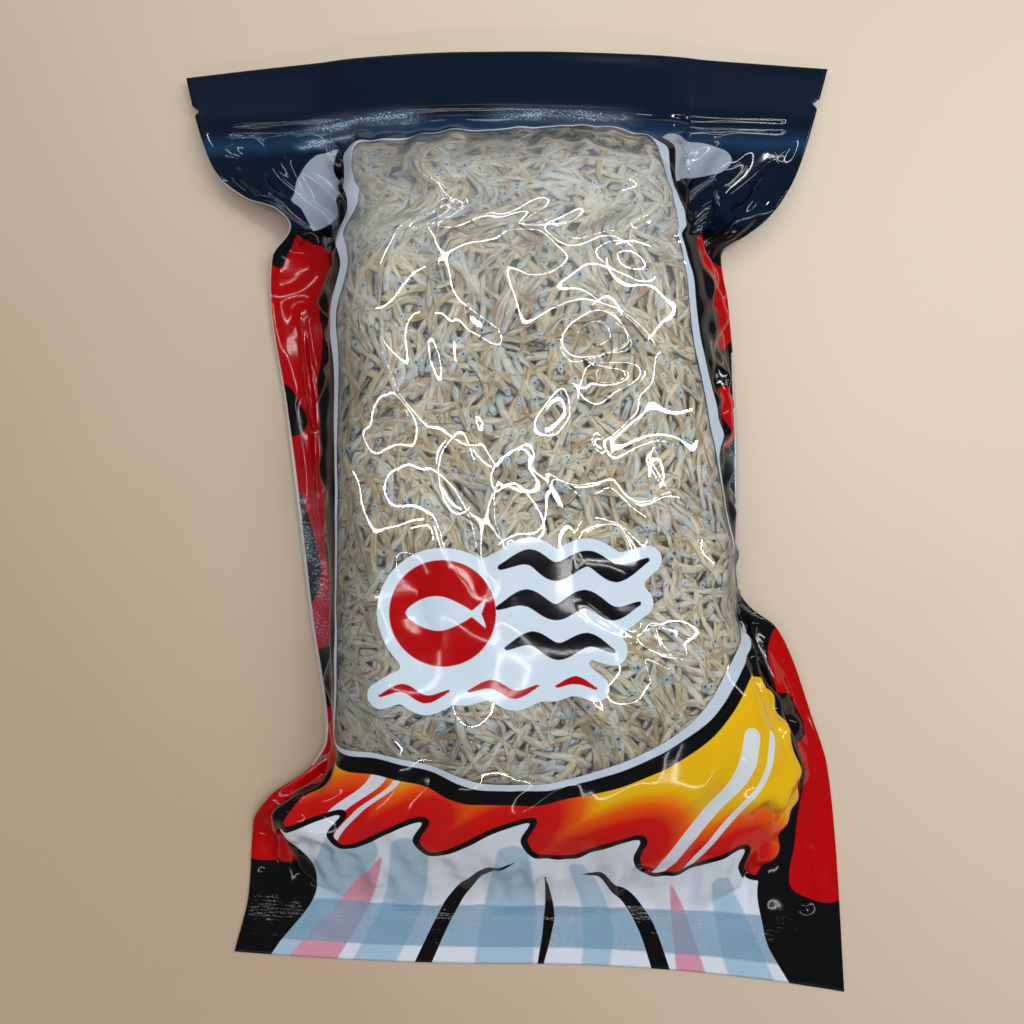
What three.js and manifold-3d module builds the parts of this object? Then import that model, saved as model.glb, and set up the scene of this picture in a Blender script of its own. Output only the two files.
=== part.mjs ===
// A zip pouch of dried whitebait lying flat with its clear window up, in millimetres.
// +X runs across the pouch, +Y towards the zip, +Z up, and the pouch rests on Z = 0.
// Two pieces: the printed pouch, and the bed of fish that fills its window.
import * as THREE from "three";
import { mergeVertices } from "three/addons/utils/BufferGeometryUtils.js";
import Module from "manifold-3d";

const wasm = await Module();
wasm.setup();

// Driving dimensions
const TOP_EDGE = 173.4; // Y of the header's top edge, on the centre line
const BOTTOM_EDGE = -174; // Y of the bottom seal's edge, on the centre line
const BLOCK_HEIGHT = 47; // the filled block, at its crown
const PLY = 1.4; // front and back film together, wherever they lie flat on each other
const FIN_COLUMNS = 2; // cells across each flat fin beside the block
const BLOCK_COLUMNS = 18;
const ZIP_Y = 150;
const ZIP_RIDGE = { height: 1.1, reach: 2.2, spacing: 4.4, from: -103, to: 100 };
const NOTCH = { y: 158.5, depth: 2.6, halfWidth: 2 };
const FISH = { length: 26, spread: 5, halfWidth: 1.75, halfDepth: 1.5, sides: 4, rings: 4 };
const FISH_CELL = { across: 19, along: 20 };
const FISH_DEPTH = 1.6; // from the film down to a fish's middle
const CORE_DEPTH = 2.3; // from the film down to the bed under the fish
const FLOOR_RISE = 8; // how far the bed's underside rounds up at its sides
const LUMPS = { swell: 0.7, ripple: 0.4, above: 20 }; // full size only this far above the foot
const GAP = 0.3; // between the bed of fish and the pouch
const SEED = 20;

// Lines along the pouch, each a list of [y, value] that a smooth curve runs through
const leftSeam = smoothLine([
  [-174, -107], [-150, -101.5], [-120, -99.5], [-108, -92], [-96, -76], [-87, -71.5],
  [-40, -77.5], [43, -87.4], [84, -93], [97, -91.5], [107, -83], [113, -88],
  [118, -100], [127, -110.5], [142, -116.6], [TOP_EDGE, -124.5],
]);
const rightSeam = smoothLine([
  [-174, 128.2], [-135, 125.5], [-98, 121.3], [-78, 115], [-52, 105], [-43, 99.5],
  [-36, 90], [-30, 86.5], [20, 86.6], [80, 83], [92, 80], [98, 79], [103, 87],
  [109, 95], [118, 102], [130, 108], [TOP_EDGE, 120.6],
]);
const leftSeamHeight = smoothLine([
  [-174, 1.8], [-120, 2.4], [-96, 7], [-80, 4], [80, 3.4], [97, 7], [107, 12], [118, 11],
  [142, 9], [TOP_EDGE, 5],
]);
const rightSeamHeight = smoothLine([
  [-174, 1.8], [-80, 3], [-50, 7], [-36, 9], [-22, 4.4], [80, 3.4], [94, 7], [103, 12],
  [127, 11], [142, 9], [TOP_EDGE, 5],
]);
const leftFoot = smoothLine([
  [-174, -60], [-152, -62], [-143, -78], [-132, -89], [-118, -91], [-108, -84], [-97, -69.5],
  [-87, -65], [-40, -62.5], [0, -64], [40, -66], [80, -67], [100, -65.5], [112, -63],
  [125, -63], [140, -67], [TOP_EDGE, -70],
]);
const rightFoot = smoothLine([
  [-174, 60], [-152, 72], [-140, 88], [-125, 101], [-98, 108.5], [-79, 101], [-50, 89],
  [-36, 83.5], [0, 82], [50, 79.5], [85, 76], [100, 71], [112, 66], [125, 64], [140, 66],
  [TOP_EDGE, 70],
]);
const footHeight = smoothLine([
  [-174, 2], [-150, 2.4], [-120, 4], [-90, 8], [-40, 9], [80, 9], [100, 10.5], [130, 11.5],
  [142, 11], [TOP_EDGE, 7],
]);
const crown = smoothLine([
  [-174, 2.2], [-158, 2.8], [-150, 4.4], [-143, 8], [-135, 15], [-125, 24], [-112, 33],
  [-95, 40], [-70, 44.5], [-30, 46.6], [40, BLOCK_HEIGHT], [90, 45.8], [112, 43.6], [123, 40.5],
  [131, 35], [137, 28], [142, 22], [149, 18], [160, 14.5], [TOP_EDGE, 11],
]);
const leftBoxiness = smoothLine([
  [-174, 2], [-150, 2], [-120, 2.3], [-90, 3.2], [-50, 4.2], [60, 4.4], [105, 3.8], [128, 2.8],
  [142, 2.1], [TOP_EDGE, 2],
]);
const rightBoxiness = smoothLine([
  [-174, 2], [-150, 2], [-120, 2.2], [-90, 2.6], [-50, 3], [60, 2.7], [105, 2.8], [128, 2.5],
  [142, 2.1], [TOP_EDGE, 2],
]);
const leftBulge = smoothLine([[-174, 0], [-110, 0], [-80, 3], [0, 3.5], [60, 1], [100, 0], [TOP_EDGE, 0]]);
// 1 where the back film lies against the front film, 0 where the block parts them
const pressedFlat = smoothLine([
  [-174, 1], [-158, 1], [-147, 0], [118, 0], [124, 0.06], [132, 0.45], [141, 0.96], [147, 1],
  [TOP_EDGE, 1],
]);
// Share of the way across the block, by length of film, at which the window starts and ends
const windowLeft = smoothLine([[75, 0.06], [92, 0.07], [104, 0.09], [116, 0.1], [140, 0.09]]);
const windowRight = smoothLine([
  [-90, 0.9], [-70, 0.93], [-45, 0.95], [-25, 0.935], [0, 0.905], [30, 0.875], [90, 0.85], [140, 0.87],
]);

// How far a row's ends lie from its middle along Y: the header's edge is bowed, the seal's is skewed
const HALF_WIDTH = 124;
const TOP_BOW = { left: -7.6, right: -4.4, from: 112 };
const BOTTOM_BOW = { left: 6, right: -10.4, from: -100 };

// The window's plan outline above and below, well clear of the block at its sides
const windowPlan = [
  [-90, 124], [-58, 128], [-30, 132], [0, 134.5], [30, 134.5], [54, 133], [100, 128],
  [110, -30], [92, -42], [82, -61], [72, -72.5], [62, -79], [50, -82], [36, -88], [24, -93.5],
  [8, -97], [-6, -96], [-20, -90.5], [-32, -86], [-57, -86.5], [-90, -90],
];

// Folds that stand up from the film: a ridge from one plan point to another
const folds = [
  { from: [-66, 96], to: [-100, 128], height: 4, reach: 5 },
  { from: [-60, 112], to: [-84, 138], height: 3, reach: 5 },
  { from: [70, 97], to: [104, 122], height: 4.5, reach: 5 },
  { from: [60, 112], to: [92, 140], height: 3, reach: 5 },
  { from: [91, -40], to: [110, -99], height: 5, reach: 4.5 },
  { from: [110, -99], to: [84, -106], height: 3.5, reach: 5 },
  { from: [-70, -93], to: [-96, -118], height: 4.5, reach: 5 },
  { from: [-92, -112], to: [-60, -124], height: 3, reach: 6 },
  { from: [-6, -122], to: [22, -146], height: 3.5, reach: 8 },
  { from: [-52, -128], to: [-38, -150], height: 2, reach: 6 },
];

// A smooth curve through [x, value] pairs that never passes beyond them.
function smoothLine(keys) {
  const rises = keys.slice(1).map(([x, v], i) => (v - keys[i][1]) / (x - keys[i][0]));
  const slopes = keys.map((key, i) => {
    const before = rises[Math.max(i - 1, 0)];
    const after = rises[Math.min(i, rises.length - 1)];
    return before * after > 0 ? (2 * before * after) / (before + after) : 0;
  });
  return (x) => {
    const after = keys.findIndex((key) => key[0] >= x);
    if (after === 0) return keys[0][1];
    if (after < 0) return keys[keys.length - 1][1];
    const [x0, v0] = keys[after - 1];
    const [x1, v1] = keys[after];
    const span = x1 - x0;
    const t = (x - x0) / span;
    const rise = t * t * (3 - 2 * t);
    const leaving = t * (1 - t) * (1 - t) * slopes[after - 1] * span;
    const arriving = t * t * (t - 1) * slopes[after] * span;
    return v0 + rise * (v1 - v0) + leaving + arriving;
  };
}

const COLUMNS = BLOCK_COLUMNS + 2 * FIN_COLUMNS;
const FIN_SHARE = FIN_COLUMNS / COLUMNS;
const mix = (a, b, t) => a + (b - a) * t;
const signedPower = (value, power) => Math.sign(value) * Math.abs(value) ** power;

// A repeatable stream of numbers from 0 to 1.
function randomStream(seed) {
  let state = seed;
  return () => {
    state = (state * 1664525 + 1013904223) % 4294967296;
    return state / 4294967296;
  };
}

// Height added by the folds at a plan point.
function foldHeight(x, y) {
  const point = new THREE.Vector3(x, y, 0);
  const nearest = new THREE.Vector3();
  return folds.reduce((sum, fold) => {
    const line = new THREE.Line3(
      new THREE.Vector3(...fold.from, 0),
      new THREE.Vector3(...fold.to, 0),
    );
    const along = line.closestPointToPointParameter(point, true);
    line.at(along, nearest);
    const across = point.distanceTo(nearest) / fold.reach;
    const taper = Math.sin(Math.PI * mix(0.12, 0.88, along));
    return sum + fold.height * taper * Math.exp(-across * across);
  }, 0);
}

// The zip's two pressed ridges across the header.
function zipHeight(x, y) {
  if (x < ZIP_RIDGE.from || x > ZIP_RIDGE.to) return 0;
  const offset = Math.abs(Math.abs(y - ZIP_Y) - ZIP_RIDGE.spacing / 2);
  return ZIP_RIDGE.height * Math.max(0, 1 - offset / (ZIP_RIDGE.reach / 2));
}

// Slow unevenness of the packed fish, felt through the film: broad swells and closer ripples.
function lumpHeight(x, y) {
  const swell = Math.sin(x / 11 + y / 23) * Math.sin(y / 17 - x / 31);
  const ripple = Math.sin(x / 7 - y / 9);
  return LUMPS.swell * swell + LUMPS.ripple * ripple;
}

// The block's section at y: points from the left foot over the crown to the right foot, with their
// running length, so that a place on the film is a share of that length.
const sections = new Map();
function sectionAt(y) {
  if (sections.has(y)) return sections.get(y);
  const steps = 120;
  const middle = (leftFoot(y) + rightFoot(y)) / 2;
  const half = (rightFoot(y) - leftFoot(y)) / 2;
  const low = footHeight(y);
  const points = [];
  for (let i = 0; i <= steps; i += 1) {
    const angle = Math.PI * (1 - i / steps);
    const power = 2 / (angle > Math.PI / 2 ? leftBoxiness(y) : rightBoxiness(y));
    const rise = Math.sin(angle) ** power;
    const bulge = angle > Math.PI / 2 ? 4 * leftBulge(y) * rise * (1 - rise) : 0;
    const x = middle + half * signedPower(Math.cos(angle), power) - bulge;
    points.push(new THREE.Vector2(x, low + (crown(y) - low) * rise));
  }
  const lengths = [0];
  points.slice(1).forEach((point, i) => lengths.push(lengths[i] + point.distanceTo(points[i])));
  const section = { points, lengths, total: lengths[steps] };
  sections.set(y, section);
  return section;
}

// The point a share of the way across the block's section, as x and z.
function acrossBlock(share, y) {
  const { points, lengths, total } = sectionAt(y);
  const wanted = share * total;
  const after = Math.max(1, lengths.findIndex((length) => length >= wanted - 1e-9));
  const t = (wanted - lengths[after - 1]) / (lengths[after] - lengths[after - 1]);
  return points[after - 1].clone().lerp(points[after], t);
}

// A row's Y at x: bowed towards the header's edge, skewed towards the seal's.
function rowY(x, y) {
  const side = x / HALF_WIDTH;
  const top = THREE.MathUtils.smoothstep(y, TOP_BOW.from, TOP_EDGE);
  const bottom = 1 - THREE.MathUtils.smoothstep(y, BOTTOM_EDGE, BOTTOM_BOW.from);
  const name = side < 0 ? "left" : "right";
  return y + side * side * (top * TOP_BOW[name] + bottom * BOTTOM_BOW[name]);
}

// Inward step of the tear notches at y.
const notchAt = (y) => NOTCH.depth * Math.max(0, 1 - Math.abs(y - NOTCH.y) / NOTCH.halfWidth);

// A point of the front film, across and along the pouch: the fins are straight from seam to foot,
// and the block between them follows its section.
function frontFilm(across, y) {
  const onLeft = across < FIN_SHARE;
  const onRight = across > 1 - FIN_SHARE;
  let x;
  let z;
  if (onLeft || onRight) {
    const t = onLeft ? across / FIN_SHARE : (1 - across) / FIN_SHARE;
    const seam = onLeft ? leftSeam(y) + notchAt(y) : rightSeam(y) - notchAt(y);
    const seamHeight = onLeft ? leftSeamHeight(y) : rightSeamHeight(y);
    x = mix(seam, onLeft ? leftFoot(y) : rightFoot(y), t);
    z = mix(seamHeight, footHeight(y), t * t);
  } else {
    const share = (across - FIN_SHARE) / (1 - 2 * FIN_SHARE);
    const point = acrossBlock(share, y);
    x = point.x;
    z = point.y + Math.min(1, (point.y - footHeight(y)) / LUMPS.above) * lumpHeight(x, y);
  }
  return new THREE.Vector3(x, rowY(x, y), z + foldHeight(x, y) + zipHeight(x, y));
}

// The matching point of the back film: against the front film in the fins, the header and the
// seal, and flat on the table under the block.
function backFilm(across, y) {
  const front = frontFilm(across, y);
  const pressed = front.clone();
  pressed.z = Math.max(0, front.z - PLY);
  if (across <= FIN_SHARE || across >= 1 - FIN_SHARE) return pressed;
  const share = (across - FIN_SHARE) / (1 - 2 * FIN_SHARE);
  const fromFoot = Math.min(share, 1 - share);
  const turnUp = Math.max(0, 1 - fromFoot / 0.05) ** 2;
  const resting = new THREE.Vector3(
    mix(leftFoot(y), rightFoot(y), share),
    front.y,
    (footHeight(y) - PLY) * turnUp,
  );
  return resting.lerp(pressed, pressedFlat(y));
}

// A closed solid between two surfaces over a grid of places: a box whose cells are drawn onto them.
function blanket(columns, rows, placeOf, topOf, bottomOf) {
  const box = new THREE.BoxGeometry(1, 1, 1, columns, rows.length - 1, 1);
  const position = box.getAttribute("position");
  for (let i = 0; i < position.count; i += 1) {
    const row = rows[Math.round((position.getY(i) + 0.5) * (rows.length - 1))];
    const [across, y] = placeOf(position.getX(i) + 0.5, row);
    const point = position.getZ(i) > 0 ? topOf(across, y) : bottomOf(across, y);
    position.setXYZ(i, point.x, point.y, point.z);
  }
  return solidOf(box);
}

// A closed three.js geometry as a solid that can be joined and cut.
function solidOf(geometry) {
  const bare = geometry.clone();
  bare.deleteAttribute("normal");
  bare.deleteAttribute("uv");
  const merged = mergeVertices(bare, 1e-4);
  return new wasm.Manifold(
    new wasm.Mesh({
      numProp: 3,
      vertProperties: new Float32Array(merged.getAttribute("position").array),
      triVerts: new Uint32Array(merged.index.array),
    }),
  );
}

// The largest body of a solid as a named mesh.
function meshOf(name, solid, material) {
  const bodies = solid.decompose().sort((a, b) => b.volume() - a.volume());
  const { vertProperties, triVerts } = bodies[0].getMesh();
  const geometry = new THREE.BufferGeometry();
  geometry.setAttribute("position", new THREE.BufferAttribute(vertProperties, 3));
  geometry.setIndex(new THREE.BufferAttribute(triVerts, 1));
  geometry.computeVertexNormals();
  const mesh = new THREE.Mesh(geometry, material);
  mesh.name = name;
  return mesh;
}

// Y of each row from stretches of [end, cells], close together where the film turns fast.
function rowsFrom(start, stretches) {
  const rows = [start];
  stretches.forEach(([end, cells]) => {
    const from = rows[rows.length - 1];
    for (let i = 1; i <= cells; i += 1) rows.push(mix(from, end, i / cells));
  });
  return rows;
}

// The whole pouch, closed and full, before its window is opened.
function wholePouch() {
  const ridge = ZIP_RIDGE.spacing / 2;
  const reach = ZIP_RIDGE.reach / 2;
  const rows = rowsFrom(BOTTOM_EDGE, [
    [-158, 1], [-132, 4], [-86, 7], [-54, 3], [-24, 5], [80, 5], [124, 8],
    [ZIP_Y - ridge - reach, 4], [ZIP_Y - ridge, 1], [ZIP_Y - ridge + reach, 1],
    [ZIP_Y + ridge - reach, 1], [ZIP_Y + ridge, 1], [ZIP_Y + ridge + reach, 1],
    [NOTCH.y - NOTCH.halfWidth, 1], [NOTCH.y, 1], [NOTCH.y + NOTCH.halfWidth, 1], [TOP_EDGE, 2],
  ]);
  const place = (across, y) => [across, y];
  return blanket(COLUMNS, rows, place, frontFilm, backFilm);
}

// The film's point and outward direction at a place on the block: f is the distance across the
// film from its middle line, and y the distance along.
function onBlock(f, y) {
  const share = THREE.MathUtils.clamp(0.5 + f / sectionAt(y).total, 0.005, 0.995);
  const across = mix(FIN_SHARE, 1 - FIN_SHARE, share);
  const step = 0.004;
  const point = frontFilm(across, y);
  const sideways = frontFilm(Math.min(across + step, 1 - FIN_SHARE), y).sub(frontFilm(across - step, y));
  const lengthways = frontFilm(across, y + 1).sub(frontFilm(across, y - 1));
  return { point, outward: sideways.cross(lengthways).normalize() };
}

// The room that the window leaves inside the pouch, held back from its walls by a gap.
function windowRoom(gap, topOf) {
  const outline = new THREE.Shape(windowPlan.map(([x, y]) => new THREE.Vector2(x, y)));
  const shrink = 1 - gap / 80;
  const prism = new THREE.ExtrudeGeometry(outline, { depth: 90, bevelEnabled: false });
  prism.scale(shrink, shrink, 1);
  prism.translate(0, 20 * (1 - shrink), -10);
  const rows = rowsFrom(-112, [[-86, 3], [-24, 5], [90, 6], [140, 6]]);
  const place = (t, y) => {
    const inset = gap / sectionAt(y).total;
    const share = mix(windowLeft(y) + inset, windowRight(y) - inset, t);
    return [mix(FIN_SHARE, 1 - FIN_SHARE, share), y];
  };
  const floor = (across, y) => {
    const nearSide = Math.max(0, 1 - (Math.min(across, 1 - across) - FIN_SHARE) / 0.12);
    return backFilm(across, y).add(new THREE.Vector3(0, 0, PLY + gap + FLOOR_RISE * nearSide ** 2));
  };
  return blanket(16, rows, place, topOf, floor).intersect(solidOf(prism));
}

// The film moved outwards, or inwards when the distance is negative.
function filmOffset(distance) {
  return (across, y) => {
    const total = sectionAt(y).total;
    const share = (across - FIN_SHARE) / (1 - 2 * FIN_SHARE);
    const { point, outward } = onBlock((share - 0.5) * total, y);
    return point.addScaledVector(outward, distance);
  };
}

// Half the fish's width a share of the way from snout to tail: full at the gills, thin at the tail.
const fishWidth = smoothLine([[0, 0.2], [0.2, 1], [0.4, 0.98], [0.6, 0.8], [0.8, 0.5], [1, 0.1]]);

// One fish lying on the film's inside, bent to one side and following the block's curve.
function fishSolid({ f, y, length, heading, bend, plumpness }) {
  const fish = new THREE.SphereGeometry(1, FISH.sides, FISH.rings);
  const position = fish.getAttribute("position");
  for (let i = 0; i < position.count; i += 1) {
    const corner = new THREE.Vector3().fromBufferAttribute(position, i);
    const t = Math.acos(THREE.MathUtils.clamp(corner.y, -1, 1)) / Math.PI;
    const turn = Math.hypot(corner.x, corner.z) < 1e-6 ? 0 : Math.atan2(corner.z, corner.x);
    const size = Math.hypot(corner.x, corner.z) < 1e-6 ? 0 : plumpness * fishWidth(t);
    const angle = heading + bend * (t - 0.5);
    const offset = (t - 0.5) * length;
    const sag = (bend * length * (t - 0.5) * (t - 0.5)) / 2;
    const spineF = f + offset * Math.cos(heading) - sag * Math.sin(heading);
    const spineY = y + offset * Math.sin(heading) + sag * Math.cos(heading);
    const { point, outward } = onBlock(spineF, spineY);
    const ahead = onBlock(spineF + Math.cos(angle), spineY + Math.sin(angle)).point.sub(point);
    const sideways = outward.clone().cross(ahead).normalize();
    point.addScaledVector(outward, FISH.halfDepth * size * Math.sin(turn) - FISH_DEPTH);
    point.addScaledVector(sideways, FISH.halfWidth * size * Math.cos(turn));
    position.setXYZ(i, point.x, point.y, point.z);
  }
  return solidOf(fish);
}

// Fish spread evenly over the window, one to a cell, each at its own angle.
function fishBed() {
  const random = randomStream(SEED);
  const jitter = (size) => (random() - 0.5) * size;
  const fish = [];
  for (let y = -92; y <= 128; y += FISH_CELL.along) {
    for (let f = -92; f <= 92; f += FISH_CELL.across) {
      fish.push(
        fishSolid({
          f: f + jitter(0.7 * FISH_CELL.across),
          y: y + jitter(0.7 * FISH_CELL.along),
          length: FISH.length + jitter(2 * FISH.spread),
          heading: random() * Math.PI * 2,
          bend: jitter(1.4),
          plumpness: 0.95 + jitter(0.3),
        }),
      );
    }
  }
  return fish;
}

const film = new THREE.MeshStandardMaterial({ name: "printed_film", color: 0x10182b, roughness: 0.28, metalness: 0 });
const fishSkin = new THREE.MeshStandardMaterial({ name: "whitebait", color: 0xc3b694, roughness: 0.55, metalness: 0 });

const cavity = windowRoom(0, filmOffset(6));
const pouch = wholePouch().subtract(cavity);

const room = windowRoom(GAP, filmOffset(6));
const core = windowRoom(GAP, filmOffset(-CORE_DEPTH));
const whitebait = wasm.Manifold.union([core, ...fishBed()]).intersect(room);

const part = new THREE.Group();
part.add(meshOf("pouch", pouch, film), meshOf("whitebait", whitebait, fishSkin));

// The origin is below the middle of the whole, on the table.
const box = new THREE.Box3().setFromObject(part);
const middle = box.getCenter(new THREE.Vector3());
part.position.set(-middle.x, -middle.y, -box.min.z);

export default part;
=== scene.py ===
"""A zip pouch of dried whitebait, lying flat with its clear window up, seen from straight above.

Lengths are millimetres unless a name ends in _m. A place on the film is given by f, the distance
across it from its middle line, and g, the distance along it from the middle of the pouch.
"""

import logging
import math
from dataclasses import dataclass, field
from enum import Enum
from typing import Callable, Iterable, Optional, Sequence, Union

import bmesh
import bpy
import numpy as np
from mathutils import Matrix, Vector

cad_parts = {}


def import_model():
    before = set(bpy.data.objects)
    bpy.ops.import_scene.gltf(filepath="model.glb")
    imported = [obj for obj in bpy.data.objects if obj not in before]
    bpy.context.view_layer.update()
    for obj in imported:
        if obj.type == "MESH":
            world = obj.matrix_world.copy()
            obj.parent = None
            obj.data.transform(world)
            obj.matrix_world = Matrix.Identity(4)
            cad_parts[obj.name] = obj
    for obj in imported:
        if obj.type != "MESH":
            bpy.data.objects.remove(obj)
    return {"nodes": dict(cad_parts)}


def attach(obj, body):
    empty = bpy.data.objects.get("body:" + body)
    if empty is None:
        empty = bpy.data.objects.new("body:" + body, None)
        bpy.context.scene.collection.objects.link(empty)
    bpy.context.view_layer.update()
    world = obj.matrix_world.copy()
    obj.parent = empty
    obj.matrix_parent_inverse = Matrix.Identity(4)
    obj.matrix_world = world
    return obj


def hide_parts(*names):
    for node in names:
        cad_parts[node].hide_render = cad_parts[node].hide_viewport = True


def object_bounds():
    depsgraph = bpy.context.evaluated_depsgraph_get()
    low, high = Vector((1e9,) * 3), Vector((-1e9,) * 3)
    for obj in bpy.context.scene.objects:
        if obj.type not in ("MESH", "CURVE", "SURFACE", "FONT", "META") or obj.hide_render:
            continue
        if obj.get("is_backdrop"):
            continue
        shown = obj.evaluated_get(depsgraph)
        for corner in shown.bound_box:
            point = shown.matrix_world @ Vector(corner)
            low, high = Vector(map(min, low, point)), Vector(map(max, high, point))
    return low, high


LOG = logging.getLogger("whitebait")
MM = 0.001

Pair = tuple[float, float]


def smooth_step(low: float, high: float, value: np.ndarray) -> np.ndarray:
    """A smooth rise from 0 at low to 1 at high."""
    t = np.clip((value - low) / (high - low), 0.0, 1.0)
    return t * t * (3 - 2 * t)


def swells(u: np.ndarray, v: np.ndarray, length: float, seed: int, count: int = 14) -> np.ndarray:
    """Smooth random swells of about one wavelength, with a mean of 0 and a spread of 1.

    Args:
        u: first coordinate of the places.
        v: second coordinate of the places.
        length: the usual wavelength.
        seed: picks the swells.
        count: how many waves are added up.

    Returns:
        The swell at each place.
    """
    random = np.random.default_rng(seed)
    total = np.zeros(np.broadcast(u, v).shape)
    for _ in range(count):
        turn, phase = random.uniform(0, 2 * math.pi, 2)
        number = 2 * math.pi / (length * random.uniform(0.7, 1.5))
        total += np.sin(number * (u * math.cos(turn) + v * math.sin(turn)) + phase)
    return total / math.sqrt(count / 2)


@dataclass(frozen=True)
class Ripples:
    """Smooth random swells of the film; a share below 1 stretches them that way."""

    height: float
    length: float
    seed: int
    across: float = 1.0
    along: float = 1.0
    count: int = 14

    def __call__(self, f: np.ndarray, g: np.ndarray) -> np.ndarray:
        """The swell at places on the film."""
        u, v = self.across * f, self.along * g
        return self.height * swells(u, v, self.length, self.seed, self.count)


@dataclass(frozen=True)
class SoftSpan:
    """A span in one direction, with a smooth rise and a smooth fall."""

    rise: Pair
    fall: Pair

    def __call__(self, place: np.ndarray) -> np.ndarray:
        """1 inside the span and 0 beyond it."""
        return smooth_step(*self.rise, place) * (1 - smooth_step(*self.fall, place))


@dataclass(frozen=True)
class SmoothLine:
    """A smooth curve through (place, value) pairs that never passes beyond them."""

    keys: tuple[Pair, ...]

    def __call__(self, place: np.ndarray) -> np.ndarray:
        """The curve's value.

        Args:
            place: where to find it.

        Returns:
            The value at each place, held level beyond the ends.
        """
        at, value = np.array(self.keys).T
        rises = np.diff(value) / np.diff(at)
        before = np.concatenate([rises[:1], rises])
        after = np.concatenate([rises, rises[-1:]])
        level = before * after <= 0
        slope = np.where(level, 0, 2 * before * after / np.where(level, 1, before + after))
        x = np.clip(place, at[0], at[-1])
        i = np.clip(np.searchsorted(at, x) - 1, 0, len(at) - 2)
        span = at[i + 1] - at[i]
        t = (x - at[i]) / span
        rise = t * t * (3 - 2 * t)
        leaving = t * (1 - t) ** 2 * slope[i] * span
        arriving = t * t * (t - 1) * slope[i + 1] * span
        return value[i] + rise * (value[i + 1] - value[i]) + leaving + arriving


@dataclass(frozen=True)
class Fold:
    """A fold that stands up from the film, from one plan point to another."""

    start: Pair
    end: Pair
    height: float
    reach: float

    def height_at(self, x: np.ndarray, y: np.ndarray) -> np.ndarray:
        """Height that the fold adds.

        Args:
            x: plan X of the places.
            y: plan Y of the places.

        Returns:
            The added height at each place.
        """
        (x0, y0), (x1, y1) = self.start, self.end
        run = (x1 - x0) ** 2 + (y1 - y0) ** 2
        t = np.clip(((x - x0) * (x1 - x0) + (y - y0) * (y1 - y0)) / run, 0, 1)
        away = np.hypot(x - x0 - t * (x1 - x0), y - y0 - t * (y1 - y0)) / self.reach
        return self.height * np.sin(math.pi * (0.12 + 0.76 * t)) * np.exp(-(away**2))


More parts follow.
